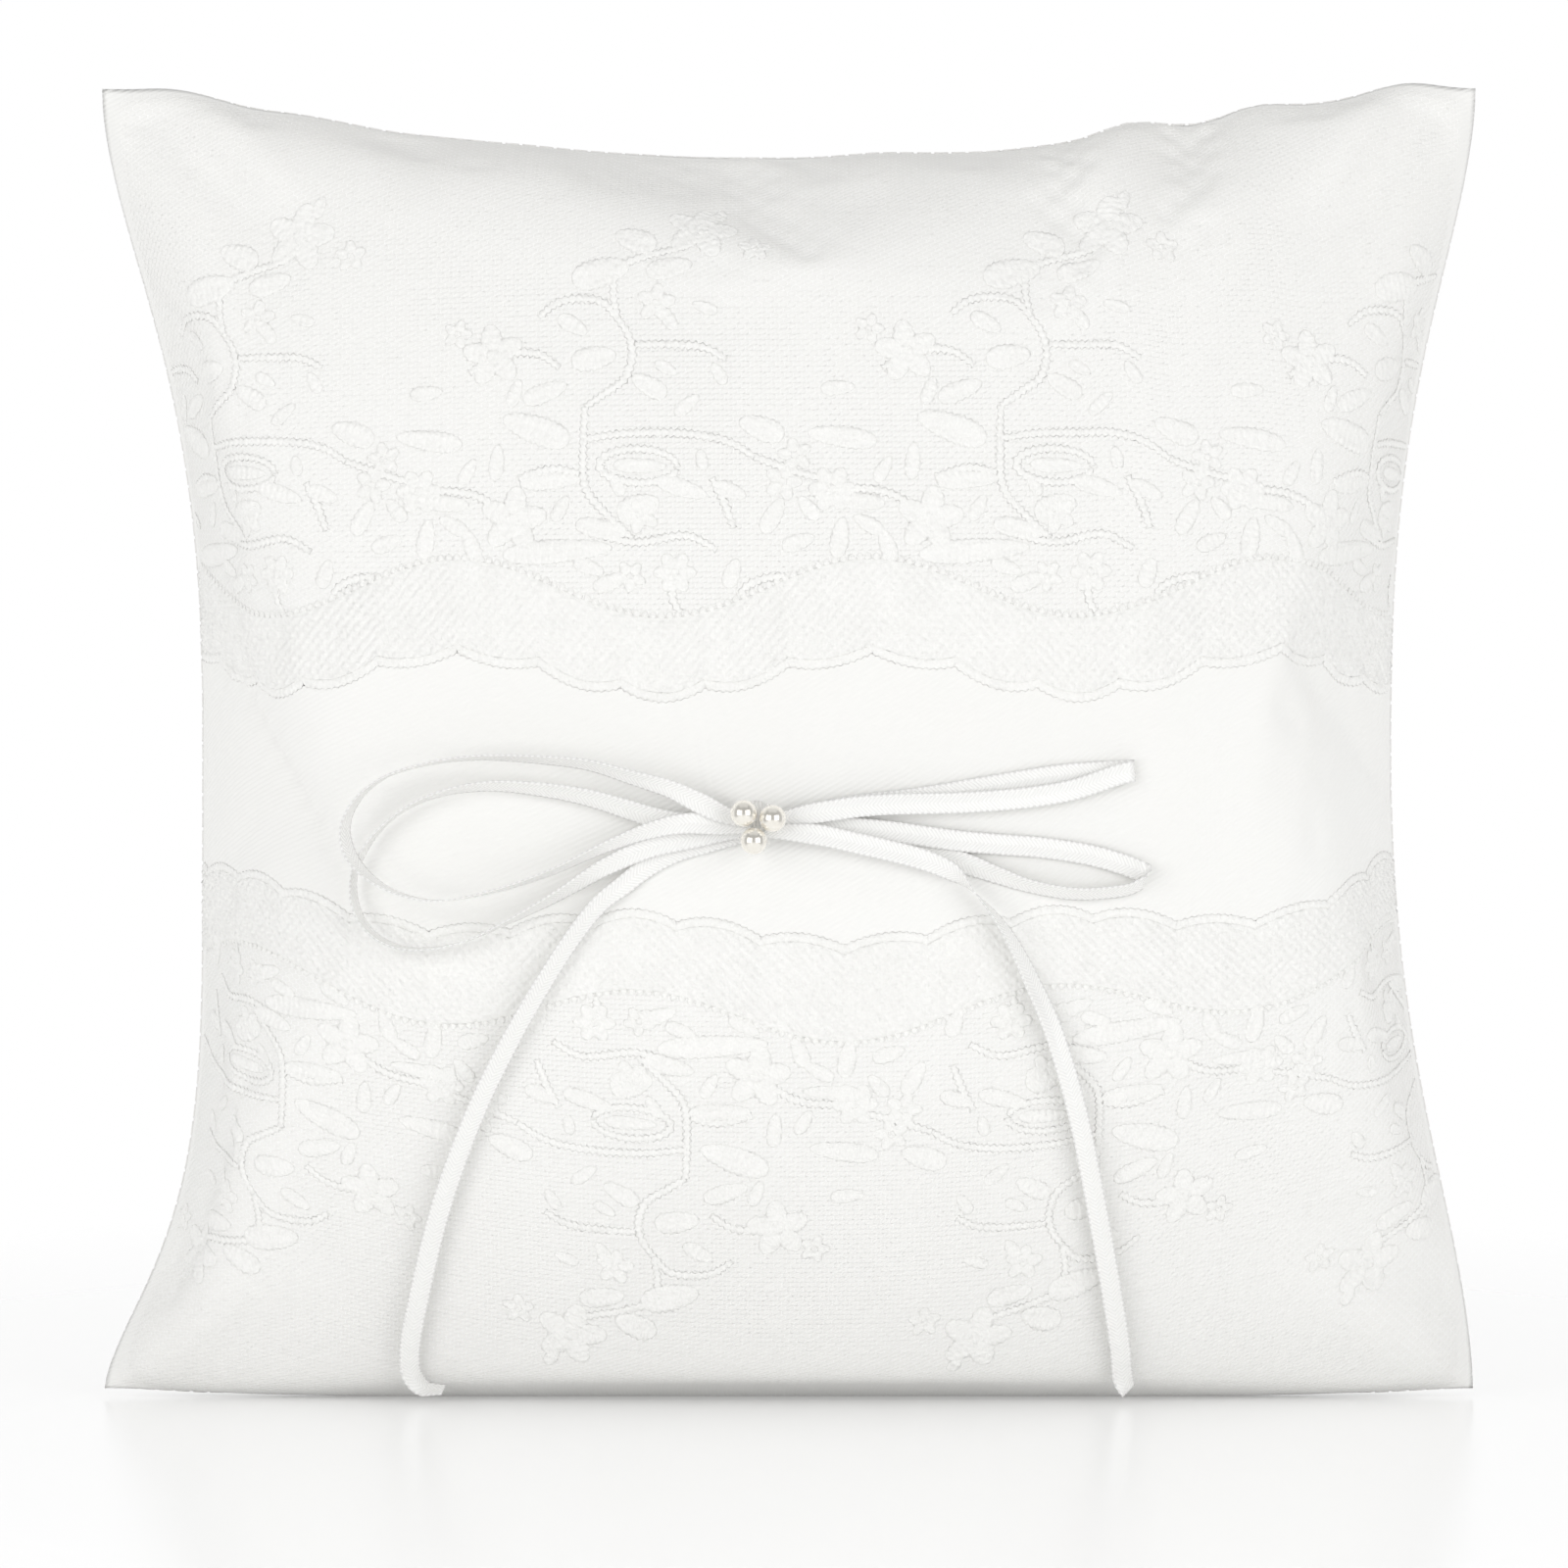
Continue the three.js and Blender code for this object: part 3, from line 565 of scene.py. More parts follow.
# Soft folds and dimples of both panels: two ends (s, t), half width and height in millimetres.
# Most start at a seam, where its stitches gather the cloth.
FOLDS = [
    [(-0.97, 0.99), (-0.72, 0.76), 5, -1.4], [(-0.86, 0.99), (-0.7, 0.8), 4, 1.0],
    [(0.97, 0.99), (0.74, 0.74), 5, -1.4], [(0.86, 0.99), (0.76, 0.8), 4, 1.1],
    [(0.48, 1.0), (0.42, 0.8), 5, 1.6], [(0.6, 1.0), (0.54, 0.84), 4, -1.2],
    [(0.3, 1.0), (0.3, 0.86), 4, -0.9], [(0.12, 1.0), (0.1, 0.85), 4.5, 0.8],
    [(-0.12, 1.0), (-0.1, 0.86), 4, -0.7], [(-0.38, 1.0), (-0.34, 0.84), 4.5, 0.9],
    [(-0.58, 1.0), (-0.52, 0.82), 5, -1.0],
    [(-0.99, -0.97), (-0.74, -0.72), 5, 1.6], [(-0.99, -0.8), (-0.78, -0.62), 5, -1.1],
    [(0.99, -0.97), (0.72, -0.74), 5, 1.6], [(0.99, -0.82), (0.74, -0.66), 5, -1.2],
    [(-1.0, 0.66), (-0.86, 0.6), 4, -0.7], [(-1.0, -0.46), (-0.88, -0.42), 4, -0.6],
    [(1.0, 0.62), (0.86, 0.56), 4, -0.8], [(1.0, 0.78), (0.84, 0.68), 4, 0.8],
    [(1.0, -0.35), (0.88, -0.32), 4, 0.6],
]
SEAM_FADE = 0.06


def fold_heights(s, t):
    """How far the folds lift the panel at each place."""
    total = np.zeros_like(s)
    for (s0, t0), (s1, t1), half, height in FOLDS:
        run_s, run_t = s1 - s0, t1 - t0
        share = ((s - s0) * run_s + (t - t0) * run_t) / (run_s**2 + run_t**2)
        aside = np.hypot(s - s0 - share * run_s, t - t0 - share * run_t) * PANEL_WIDTH / 2
        ends = smooth_step((share + 0.25) / 0.3) * smooth_step((1.25 - share) / 0.6)
        total += height * MM * np.exp(-((aside / (half * MM)) ** 2)) * ends
    return total


def make_cover_grids():
    """The front and back panels as grids of points, evenly spaced along the cloth."""
    ideal = ideal_point(*even_parameters())
    grids = list(simulate_cover(ideal))
    s, t = square_grid(SHARES)
    off_seam = smooth_step((1 - np.maximum(np.abs(s), np.abs(t))) / SEAM_FADE)
    near_top = smooth_step((t - 0.7) / 0.25)
    made = []
    for grid, facing in zip(grids, (-1, 1)):
        grid = grid + spread_from_edges(ideal * (1, 0, 1) - grid)
        grid[..., 1] *= CROWN_HALF_THICKNESS / np.abs(grid[..., 1]).max()
        fold = fold_heights(-facing * s, t) * (0.25 + 0.75 * off_seam)
        grid[..., 1] += facing * fold * off_seam
        grid[..., 2] += 0.5 * fold * near_top
        grid = rest_on_floor(grid)
        grid[..., 1] += SEAM_Y + facing * SEAM_SETBACK
        made.append(grid)
    return made


def sample(grid, s, t):
    """Bicubic reading of a grid of vectors at shares s and t from -1 to 1."""
    side = grid.shape[0]

    def weights(share):
        place = (np.clip(share, -1, 1) + 1) / 2 * (side - 1)
        cell = np.clip(np.floor(place).astype(int), 0, side - 2)
        f = place - cell
        cubic = [
            -0.5 * f**3 + f**2 - 0.5 * f,
            1.5 * f**3 - 2.5 * f**2 + 1,
            -1.5 * f**3 + 2 * f**2 + 0.5 * f,
            0.5 * f**3 - 0.5 * f**2,
        ]
        return [np.clip(cell + k - 1, 0, side - 1) for k in range(4)], cubic

    s, t = np.broadcast_arrays(s, t)
    rows, row_weights = weights(s)
    columns, column_weights = weights(t)
    total = np.zeros((*s.shape, grid.shape[2]))
    for row, row_weight in zip(rows, row_weights):
        for column, column_weight in zip(columns, column_weights):
            total += grid[row, column] * (row_weight * column_weight)[..., None]
    return total


def panel_reader(grid, facing):
    """A function for points above one panel. Its s and t run over the cut cloth from -1 to 1."""
    along_s = np.gradient(grid, axis=0)
    along_t = np.gradient(grid, axis=1)
    normals = -facing * unit(np.cross(along_s, along_t))
    seam_side = SEAM_Y + facing * SEAM_HALF_GAP
    clear_of = np.minimum if facing < 0 else np.maximum

    def point_at(s, t, lift):
        point = sample(grid, s, t) + unit(sample(normals, s, t)) * np.asarray(lift)[..., None]
        point[..., 1] = clear_of(point[..., 1], seam_side)
        point[..., 2] = np.maximum(point[..., 2], FLOOR_CLEARANCE)
        return point

    return point_at


make_camera()
FRONT_GRID, BACK_GRID = make_cover_grids()
front_point = panel_reader(FRONT_GRID, -1)
back_point = panel_reader(BACK_GRID, 1)

PANEL_POINTS = 201
PANEL_S, PANEL_T = square_grid(np.linspace(-1, 1, PANEL_POINTS))


def make_panel(name, point_at):
    """One satin panel with its real thickness. It keeps its flat shape for the weave."""
    outer = point_at(PANEL_S, PANEL_T, 0)
    inner = point_at(PANEL_S, PANEL_T, -SATIN_THICKNESS)
    piece = make_piece(name, shell(outer, inner), "satin")
    add_weave(piece, "cloth", PANEL_S * PANEL_WIDTH / 2, PANEL_T * PANEL_HEIGHT / 2)
    return piece


satin_front = make_panel("satin_front_panel", front_point)
satin_back = make_panel("satin_back_panel", back_point)
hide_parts("satin_front")
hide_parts("satin_back")


# ------------------------------------------------------------------ places on the front panel

front_tree = BVHTree.FromPolygons(
    [tuple(p) for p in front_point(PANEL_S, PANEL_T, 0).reshape(-1, 3)],
    grid_quads(PANEL_POINTS, PANEL_POINTS).tolist(),
)


def front_y(x, z):
    """The y of the front panel at a place seen from the front."""
    hit = front_tree.ray_cast(Vector((x, -1, max(z, FLOOR_LIFT * 0.8))), Vector((0, 1, 0)))[0]
    return hit.y if hit else SEAM_Y - SEAM_SETBACK


def shares_at_heights(s, heights):
    """The t at which each s of the front panel reaches its height."""
    t_line = np.linspace(-0.98, 0.99, 240)
    z = sample(FRONT_GRID, s[:, None], t_line)[..., 2]
    return np.array([np.interp(height, row, t_line) for height, row in zip(heights, z)])


# ------------------------------------------------------------------ ribbon bow

# Each route is a list of points [x, z, lift, lean, stand], in millimetres and degrees, as in the CAD
# source: the ribbon's middle stands lift proud of the front panel, lean is the direction of its
# width in the panel's plane, from +X, and stand turns it from lying flat (0) to on its edge (90).
ROUTES = {
    "ribbon_loop_left_upper": [
        [-5.2, 85.2, 2.85, 90, 0], [-9.4, 86.4, 3.0, 90, 0], [-12.9, 88.1, 3.5, 80, 10],
        [-16.9, 90, 4.2, 75, 30], [-22.4, 91.7, 5.0, 78, 46], [-28.7, 93.5, 5.6, 80, 58],
        [-36.5, 94.3, 6.0, 85, 68], [-44.3, 94.5, 6.3, 90, 77], [-51.5, 93.6, 6.5, 95, 85],
        [-58, 91.5, 6.6, 100, 90], [-61.8, 88.3, 6.6, 100, 90], [-63.5, 84.5, 6.6, 90, 90],
        [-63, 81, 6.6, 90, 90], [-60.8, 78, 6.6, 90, 90], [-56.8, 75.4, 6.6, 80, 90],
        [-50.8, 74, 6.5, 80, 86], [-43, 75.2, 6.3, 75, 78], [-34.4, 78, 5.9, 75, 68],
        [-25.8, 81.9, 5.0, 75, 50], [-19.4, 84.2, 4.1, 78, 30], [-14.4, 85.1, 3.2, 90, 10],
        [-9.4, 84.7, 2.4, 90, 0], [-5.2, 84.5, 2.25, 90, 0],
    ],
    "ribbon_loop_left_lower": [
        [-5.2, 84.8, 1.65, 90, 0], [-9.4, 85.1, 1.65, 90, 0], [-14.4, 85, 1.75, 90, 0],
        [-18.4, 85.6, 1.9, 85, 6], [-23, 87, 2.2, 80, 20], [-28.7, 88.7, 2.5, 80, 34],
        [-35.8, 89.9, 2.8, 85, 48], [-43, 90.3, 3.0, 90, 62], [-49.4, 89.3, 3.1, 95, 76],
        [-54.4, 87.3, 3.2, 100, 86], [-58.3, 84.3, 3.2, 100, 90], [-61, 80.7, 3.2, 95, 90],
        [-62.4, 77, 3.2, 90, 90], [-62.1, 72.8, 3.2, 90, 90], [-60.2, 69.5, 3.2, 85, 90],
        [-56.8, 67.4, 3.2, 80, 90], [-52.3, 66.9, 3.2, 75, 88], [-46.5, 68, 3.2, 80, 84],
        [-40.1, 70.9, 3.1, 90, 74], [-33, 74.7, 2.9, 100, 56], [-26, 78.9, 2.6, 108, 30],
        [-20.3, 81.4, 1.9, 108, 12], [-14.4, 82.8, 1.2, 102, 2], [-9.4, 83.7, 1.05, 96, 0],
        [-5.2, 84, 1.05, 90, 0],
    ],
    "ribbon_loop_right_upper": [
        [-3.6, 85, 1.65, 90, 0], [1.1, 85.9, 1.55, 96, 0], [8.6, 87.4, 1.15, 100, 0],
        [18.6, 88.6, 0.7, 98, 0], [30.2, 90.5, 0.5, 98, 0], [39.5, 91.9, 0.5, 98, 0],
        [47.6, 92.4, 0.5, 98, 0], [49, 92.5, 0.65, 98, 0], [49.5, 92.4, 1.1, 98, 0],
        [49, 92.3, 1.55, 98, 0], [47, 91.8, 1.65, 98, 0], [41, 89.8, 1.5, 99, 0],
        [34.7, 88.7, 1.6, 97, 0], [25.5, 88, 1.9, 95, 0], [11.6, 87.6, 2.3, 90, 0],
        [4.2, 86.6, 2.35, 96, 0], [-3.6, 85.1, 2.25, 90, 0],
    ],
    "ribbon_loop_right_lower": [
        [-3.6, 84.4, 1.05, 90, 0], [1.1, 84.6, 1.0, 90, 0], [7, 84.5, 0.9, 88, 0],
        [14.6, 83.8, 1.0, 85, 0], [23.9, 82.5, 0.85, 84, 0], [30.2, 81.9, 0.6, 85, 0],
        [36.3, 81.4, 0.5, 85, 0], [44, 80.1, 0.6, 78, 0], [49.6, 78.3, 0.8, 70, 0],
        [51, 77.6, 1.3, 70, 10], [50.9, 76.6, 2.0, 72, 30], [49.1, 75.5, 2.2, 82, 46],
        [46.2, 75, 2.2, 90, 50], [41, 74.8, 2.1, 92, 50], [34.7, 75.9, 1.7, 102, 44],
        [30.1, 77.4, 1.1, 106, 26], [25.2, 79.2, 0.6, 108, 4], [17.7, 81.4, 0.5, 105, 0],
        [9.9, 83, 0.45, 100, 0], [2.7, 83.8, 0.45, 95, 0], [-3.6, 84, 0.45, 90, 0],
    ],
    "ribbon_tail_left": [
        [-5.2, 83.4, 0.45, 90, 0], [-8.4, 82.9, 0.45, 96, 0], [-12.1, 82.1, 0.45, 104, 2],
        [-16.1, 80.9, 0.5, 113, 8], [-20.3, 78.7, 0.7, 122, 12], [-23.8, 76, 1.3, 128, 22],
        [-27, 73.5, 2.2, 136, 32], [-30.7, 68.9, 2.8, 145, 36], [-35.4, 61.6, 2.9, 149, 34],
        [-40.4, 52.8, 2.8, 152, 28], [-45.3, 42.5, 2.7, 157, 22], [-50.1, 29.2, 2.7, 162, 16],
        [-53.4, 15.9, 2.7, 168, 12], [-54.8, 8.4, 2.7, 176, 14], [-54.6, 4.2, 2.9, 186, 30],
        [-52.8, 2.2, 3.4, 200, 60], [-50, 2, 3.6, 230, 80],
    ],
    "ribbon_tail_right": [
        [-3.6, 83.9, 2.85, 90, 0], [0.3, 83.8, 2.85, 94, 0], [4.3, 83.4, 2.7, 98, 0],
        [9.8, 82.2, 2.4, 102, 0], [15.3, 80.9, 2.2, 103, 0], [19.9, 79.6, 2.3, 108, 4],
        [23.5, 77.9, 2.6, 118, 14], [27, 74.6, 2.9, 135, 36], [29.9, 71.2, 3.1, 145, 40],
        [32.2, 67.6, 3.0, 150, 36], [35.1, 61.6, 2.8, 152, 24], [37.9, 55.1, 2.6, 156, 16],
        [41.3, 43.7, 2.5, 162, 10], [44.3, 29.2, 2.5, 168, 6], [46.7, 15.9, 2.6, 172, 4],
        [47.9, 8.2, 2.6, 176, 4], [48.4, 3.6, 2.8, 178, 10], [49.2, 1.8, 3.6, 200, 40],
    ],
}
RIBBON_COLUMNS = 11
RIBBON_SPACING = 0.28 * MM
RIBBON_FLOOR = 0.25 * MM
PICOT_DEPTH = 0.06 * MM
RIM_START = 0.78
# The ribbon narrows and cups towards the bow's middle.
BOW_X = -4.4 * MM
BOW_Z = 84.6 * MM
GATHER_REACH = 9 * MM
GATHERED_WIDTH = 0.62
GATHERED_CUP = 0.35 * MM
# The panel's slope under the ribbon is read over this reach, up to the steepest one.
SLOPE_REACH = 0.8 * MM
STEEPEST = 1.5


def width_direction(x, z, lean, stand):
    """The direction of the ribbon's width, on the slope that the front panel has there."""
    slope_x = (front_y(x + SLOPE_REACH, z) - front_y(x - SLOPE_REACH, z)) / (2 * SLOPE_REACH)
    slope_z = (front_y(x, z + SLOPE_REACH) - front_y(x, z - SLOPE_REACH)) / (2 * SLOPE_REACH)
    slope_z = min(max(slope_z, -STEEPEST), STEEPEST)
    flat_x, flat_z = math.cos(math.radians(lean)), math.sin(math.radians(lean))
    flat = unit(np.array([flat_x, slope_x * flat_x + slope_z * flat_z, flat_z]))
    proud = unit(np.array([slope_x, -1, slope_z]))
    turn = math.radians(stand)
    return flat * math.cos(turn) + proud * math.sin(turn)


def make_ribbon(node, route):
    """A closed strip with woven picot edges, gathered where it meets the bow's middle."""
    middles, widths = [], []
    for x, z, lift, lean, stand in route:
        x, z = x * MM, z * MM
        middles.append([x, front_y(x, z) - lift * MM, z])
        widths.append(width_direction(x, z, lean, stand))
    line = curve_points(np.hstack([middles, np.array(widths) * MM]), 24)
    line = even_points(line, RIBBON_SPACING)
    middle, across = line[:, :3], line[:, 3:]
    along = unit(np.gradient(middle, axis=0))
    across = unit(across - (across * along).sum(-1, keepdims=True) * along)
    face = unit(np.cross(across, along))
    length = lengths_along(middle)
    from_bow = np.hypot(middle[:, 0] - BOW_X, middle[:, 2] - BOW_Z)
    gather = GATHERED_WIDTH + (1 - GATHERED_WIDTH) * smooth_step(from_bow / GATHER_REACH)
    share = np.linspace(-1, 1, RIBBON_COLUMNS)
    picot = PICOT_DEPTH * np.cos(2 * math.pi * length / PICOT_PITCH)
    rim = smooth_step((np.abs(share) - RIM_START) / (1 - RIM_START))
    offset = (gather * RIBBON_WIDTH / 2)[:, None] * share + picot[:, None] * rim * np.sign(share)
    strip = middle[:, None] + across[:, None] * offset[..., None]
    cup = (GATHERED_CUP * (1 - gather) / (1 - GATHERED_WIDTH))[:, None] * share**2
    half_thickness = RIBBON_THICKNESS / 2 * (1 + 0.3 * rim)
    outer = strip + face[:, None] * (cup + half_thickness)[..., None]
    inner = strip + face[:, None] * (cup - half_thickness)[..., None]
    outer[..., 2] = np.maximum(outer[..., 2], RIBBON_FLOOR)
    inner[..., 2] = np.maximum(inner[..., 2], RIBBON_FLOOR / 2)
    piece = make_piece(node + "_satin", shell(outer, inner), "ribbon")
    add_weave(piece, "weave", length[:, None], share * RIBBON_WIDTH / 2)
    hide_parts(node)


for ribbon_node, ribbon_route in ROUTES.items():
    make_ribbon(ribbon_node, ribbon_route)


# ------------------------------------------------------------------ lace

# One piece of lace: its repeat, its scalloped edge, and how it rises towards the cushion's sides.
LACE_HALF_LENGTH = 97.5 * MM
LACE_REPEAT = 56.5 * MM
SCALLOPS_PER_REPEAT = 5
SCALLOP_DEPTH = 1.5 * MM
RISE_POWER = 2.4
# Where the lace ends short of the seams, as a share of the panel's half width and half height.
LACE_END = 0.985
SIDE_LIMIT = 0.992
# The net: the spacing of its holes and rows, its rows below the mean scallop line, and its thread.
HOLE_PITCH = 1.17 * MM
ROW_PITCH = 0.73 * MM
UPRIGHT_HALF = 0.22 * MM
ROWS_BELOW = 7
NET_THREAD_HALF = 0.075 * MM
NET_LIFT = 0.045 * MM
# The net and the border begin this far inside the scalloped edge, under its cord.
UNDER_CORD = 0.5 * MM


class Lace:
    """One piece of lace: how its pattern's places lie on the front panel.

    A place is (p, q): p along the cloth from the middle, and q away from the mean scallop line,
    towards the seam that the piece is sewn into. side is 1 where that seam is the top one. The
    scallop line is at edge_height in the middle and rises towards the sides. Its long waves, like
    the border's, have a lobe at lobe_at. depth is the width of the whole piece.
    """

    def __init__(self, label, side, edge_height, rise, wave, lobe_at, border, swell, depth):
        self.label = label
        self.side = side
        self.wave = wave
        self.lobe_at = lobe_at
        self.border = border
        self.swell = swell
        self.depth = depth
        self.columns = np.linspace(-LACE_END, LACE_END, 160)
        heights = edge_height + rise * np.abs(self.columns) ** RISE_POWER
        self.edge_t = shares_at_heights(self.columns, heights)
        self.seam_t = LACE_END * side

    def point(self, p, q, lift):
        """The point above a place. Rows turn evenly from the scallop line to the seam."""
        s = np.clip(2 * p / PANEL_WIDTH, -SIDE_LIMIT, SIDE_LIMIT)
        edge = np.interp(s, self.columns, self.edge_t)
        return front_point(s, edge + q / self.depth * (self.seam_t - edge), lift)

    def scallop(self, p):
        """q of the scalloped edge: a long wave with small scallops. It is below the mean line."""
        phase = (p - self.lobe_at) / LACE_REPEAT
        small = np.abs(np.cos(math.pi * SCALLOPS_PER_REPEAT * phase)) ** 0.8
        return -self.wave * np.cos(2 * math.pi * phase) - SCALLOP_DEPTH * small

    def border_line(self, p):
        """q of the line where the net ends and the dense border begins."""
        phase = (p - self.lobe_at) / LACE_REPEAT
        return self.border - self.swell * np.cos(2 * math.pi * phase)


UPPER = Lace("upper", side=1, edge_height=107.4 * MM, rise=0, wave=2.6 * MM, lobe_at=-18 * MM,
             border=10.6 * MM, swell=4.0 * MM, depth=84 * MM)
LOWER = Lace("lower", side=-1, edge_height=68.4 * MM, rise=9.5 * MM, wave=1.8 * MM, lobe_at=-22 * MM,
             border=11.3 * MM, swell=3.6 * MM, depth=88 * MM)


def make_net(lace):
    """Every thread of the net: uprights in rows, with slanting threads between the rows."""
    columns = int(2 * LACE_HALF_LENGTH / HOLE_PITCH) + 1
    rows = int(lace.depth / ROW_PITCH) + 1 + ROWS_BELOW
    row, column = np.meshgrid(np.arange(rows), np.arange(columns), indexing="ij")
    p = (column - columns / 2 + 0.5 * (row % 2)) * HOLE_PITCH
    q = (row - ROWS_BELOW) * ROW_PITCH
    kept = (q > lace.scallop(p) + UNDER_CORD) & (q < lace.depth) & (np.abs(p) < LACE_HALF_LENGTH)
    # Each upright meets two slanting threads at both of its ends, in a joint with three corners.
    w = NET_THREAD_HALF
    slant = math.atan2(ROW_PITCH - 2 * UPRIGHT_HALF, HOLE_PITCH / 2)
    notch = w / math.cos(slant) - w * math.tan(slant)
    corners = np.array([[-w, -notch], [w, -notch], [0, w / math.cos(slant)]])
    upper = np.stack([p, q + UPRIGHT_HALF], -1)[..., None, :] + corners
    lower = np.stack([p, q - UPRIGHT_HALF], -1)[..., None, :] + corners * (1, -1)
    flat = np.concatenate([upper, lower], axis=2)[kept]
    number = np.where(kept, np.cumsum(kept).reshape(kept.shape) - 1, -1)
    first = number[kept][:, None] * 6
    triangles = np.vstack([first + (0, 1, 2), first + (4, 3, 5)])
    quads = [first + (3, 4, 1, 0)]
    # Slanting threads run from each upright's top to the uprights on both sides in the next row.
    for step, own_edge, next_edge in ((1, (1, 2), (5, 3)), (-1, (2, 0), (4, 5))):
        for parity in (0, 1):
            shift = (step + (1 if parity else -1)) // 2
            in_row = row[:-1] % 2 == parity
            own = number[:-1][in_row].reshape(-1, columns)
            following = number[1:][in_row].reshape(-1, columns)
            start, end = max(0, -shift), columns - max(0, shift)
            a = own[:, start:end].ravel()
            b = following[:, start + shift:end + shift].ravel()
            both = (a >= 0) & (b >= 0)
            a, b = a[both] * 6, b[both] * 6
            ends = [a + own_edge[0], b + next_edge[1], b + next_edge[0], a + own_edge[1]]
            quads.append(np.stack(ends, -1))
    faces = np.vstack(quads).tolist() + triangles.tolist()
    if lace.side < 0:
        faces = [face[::-1] for face in faces]
    points = lace.point(flat[..., 0], flat[..., 1], NET_LIFT)
    return make_piece(f"lace_net_{lace.label}_mesh", (points, faces), "net")


BORDER_THICKNESS = 0.22 * MM
BORDER_RELIEF = 0.36 * MM
BORDER_GRAIN = 0.04 * MM
BORDER_TAPER = 0.7 * MM
BORDER_SPACING = 0.3 * MM
BORDER_ROWS = 44
PEBBLE_PITCH = 1.5 * MM


def pebbles(p, q):
    """Close embroidery: a slanting lattice of bead-like stitches, with a finer grain over it."""
    first = np.sin(math.pi * (p + 0.9 * q) / PEBBLE_PITCH) ** 2
    second = np.sin(math.pi * (p - 0.9 * q) / PEBBLE_PITCH) ** 2
    grain = np.sin(2 * math.pi * (p + 0.37 * q) / (0.93 * MM)) * np.sin(2 * math.pi * q / (0.81 * MM))
    return BORDER_RELIEF * (first * second - 0.25) + BORDER_GRAIN * grain


def make_border(lace):
    """The dense band between the scallops and the ladder line. It thins out towards the net."""
    p = np.arange(-LACE_HALF_LENGTH, LACE_HALF_LENGTH, BORDER_SPACING)[:, None]
    low = lace.scallop(p) + UNDER_CORD
    high = lace.border_line(p)
    q = low + (high - low) * np.linspace(0, 1, BORDER_ROWS)
    p = np.broadcast_to(p, q.shape)
    body = smooth_step((high - q) / BORDER_TAPER)
    height = 0.02 * MM + body * (BORDER_THICKNESS + pebbles(p, q))
    strip = shell(lace.point(p, q, NET_LIFT + height), lace.point(p, q, NET_LIFT + 0 * p))
    return make_piece(f"lace_border_{lace.label}_stitching", strip, "embroidery")


def ridge(lace, line, half_width_line, height, sink, sides):
    """A closed ridge of thread along a line of places, which starts sink below the net."""
    tangent = unit(np.gradient(line, axis=0))
    normal = np.stack([-tangent[:, 1], tangent[:, 0]], -1)
    angle = np.linspace(0, 2 * math.pi, sides, endpoint=False)
    around = np.cos(angle)[None, :, None] * normal[:, None] * half_width_line[:, None, None]
    place = line[:, None] + around
    section = np.maximum(np.sin(angle), 0) ** 1.5
    high = NET_LIFT - sink + height * section * (half_width_line / half_width_line.max())[:, None]
    return tube(lace.point(place[..., 0], place[..., 1], high))


STITCH_PITCH = 0.92 * MM
CORD_HALF = 0.75 * MM
CORD_SWELL = 0.13 * MM
CORD_HEIGHT = 0.34 * MM


def make_scallop_cord(lace):
    """The thick outline thread along the scallops, wound with a finer one."""
    p_line = np.arange(-LACE_HALF_LENGTH, LACE_HALF_LENGTH, 0.22 * MM)
    line = even_points(np.stack([p_line, lace.scallop(p_line)], -1), 0.25 * MM)
    half = CORD_HALF + CORD_SWELL * np.cos(2 * math.pi * lengths_along(line) / STITCH_PITCH)
    cord = ridge(lace, line, half, CORD_HEIGHT, 0.03 * MM, 10)
    return make_piece(f"scallop_cord_{lace.label}_thread", cord, "embroidery")


# One repeat of the embroidery, in millimetres: p along the lace and q from the mean scallop line.
# Stems are lines. Leaves and ovals are [p, q, direction, length, width], and flowers [p, q, radius,
# petals, turn of the first petal]. Directions and turns are in degrees.
STEMS = [
    [[2, 15.8], [-1.9, 17.7], [-9, 16.8], [-15.7, 18.3]],
    [[-9.4, 17.3], [-12.9, 20.6], [-15.7, 24.1], [-16.1, 30.3], [-15.9, 35.2]],
    [[4.3, 18.7], [2.9, 22.6], [1.4, 25.5]],
    [[7.1, 28.4], [3.9, 30.3], [-0.9, 31.4], [-10, 31.6], [-16.1, 30.8]],
    [[-15.9, 35.2], [-12.9, 37.2], [-10.4, 39.1], [-9.4, 42.5], [-10, 45.1], [-11.4, 47.2]],
    [[-19.4, 40.6], [-22.3, 42.5], [-28, 42.5], [-31.9, 40.2]],
    [[-11.4, 47.2], [-13.7, 49.6], [-19.4, 49.6], [-22.3, 47.6]],
    [[3.4, 41.6], [0.6, 43.1], [-4.3, 43.6], [-9, 43.6]],
    [[-11.4, 47.2], [-12, 51], [-11.4, 54.1], [-7.1, 56.1], [-1.9, 57.7], [0.6, 60.3]],
    [[-25.7, 19.7], [-30.4, 23.1], [-35, 24], [-41, 23.6]],
    [[-16.6, 26.2], [-20.4, 26.8], [-25, 25.6]],
    [[16, 25.4], [12, 26.6], [7.1, 28.4]],
    [[-1.5, 5.6], [-4, 9], [-3.7, 12.5]],
]
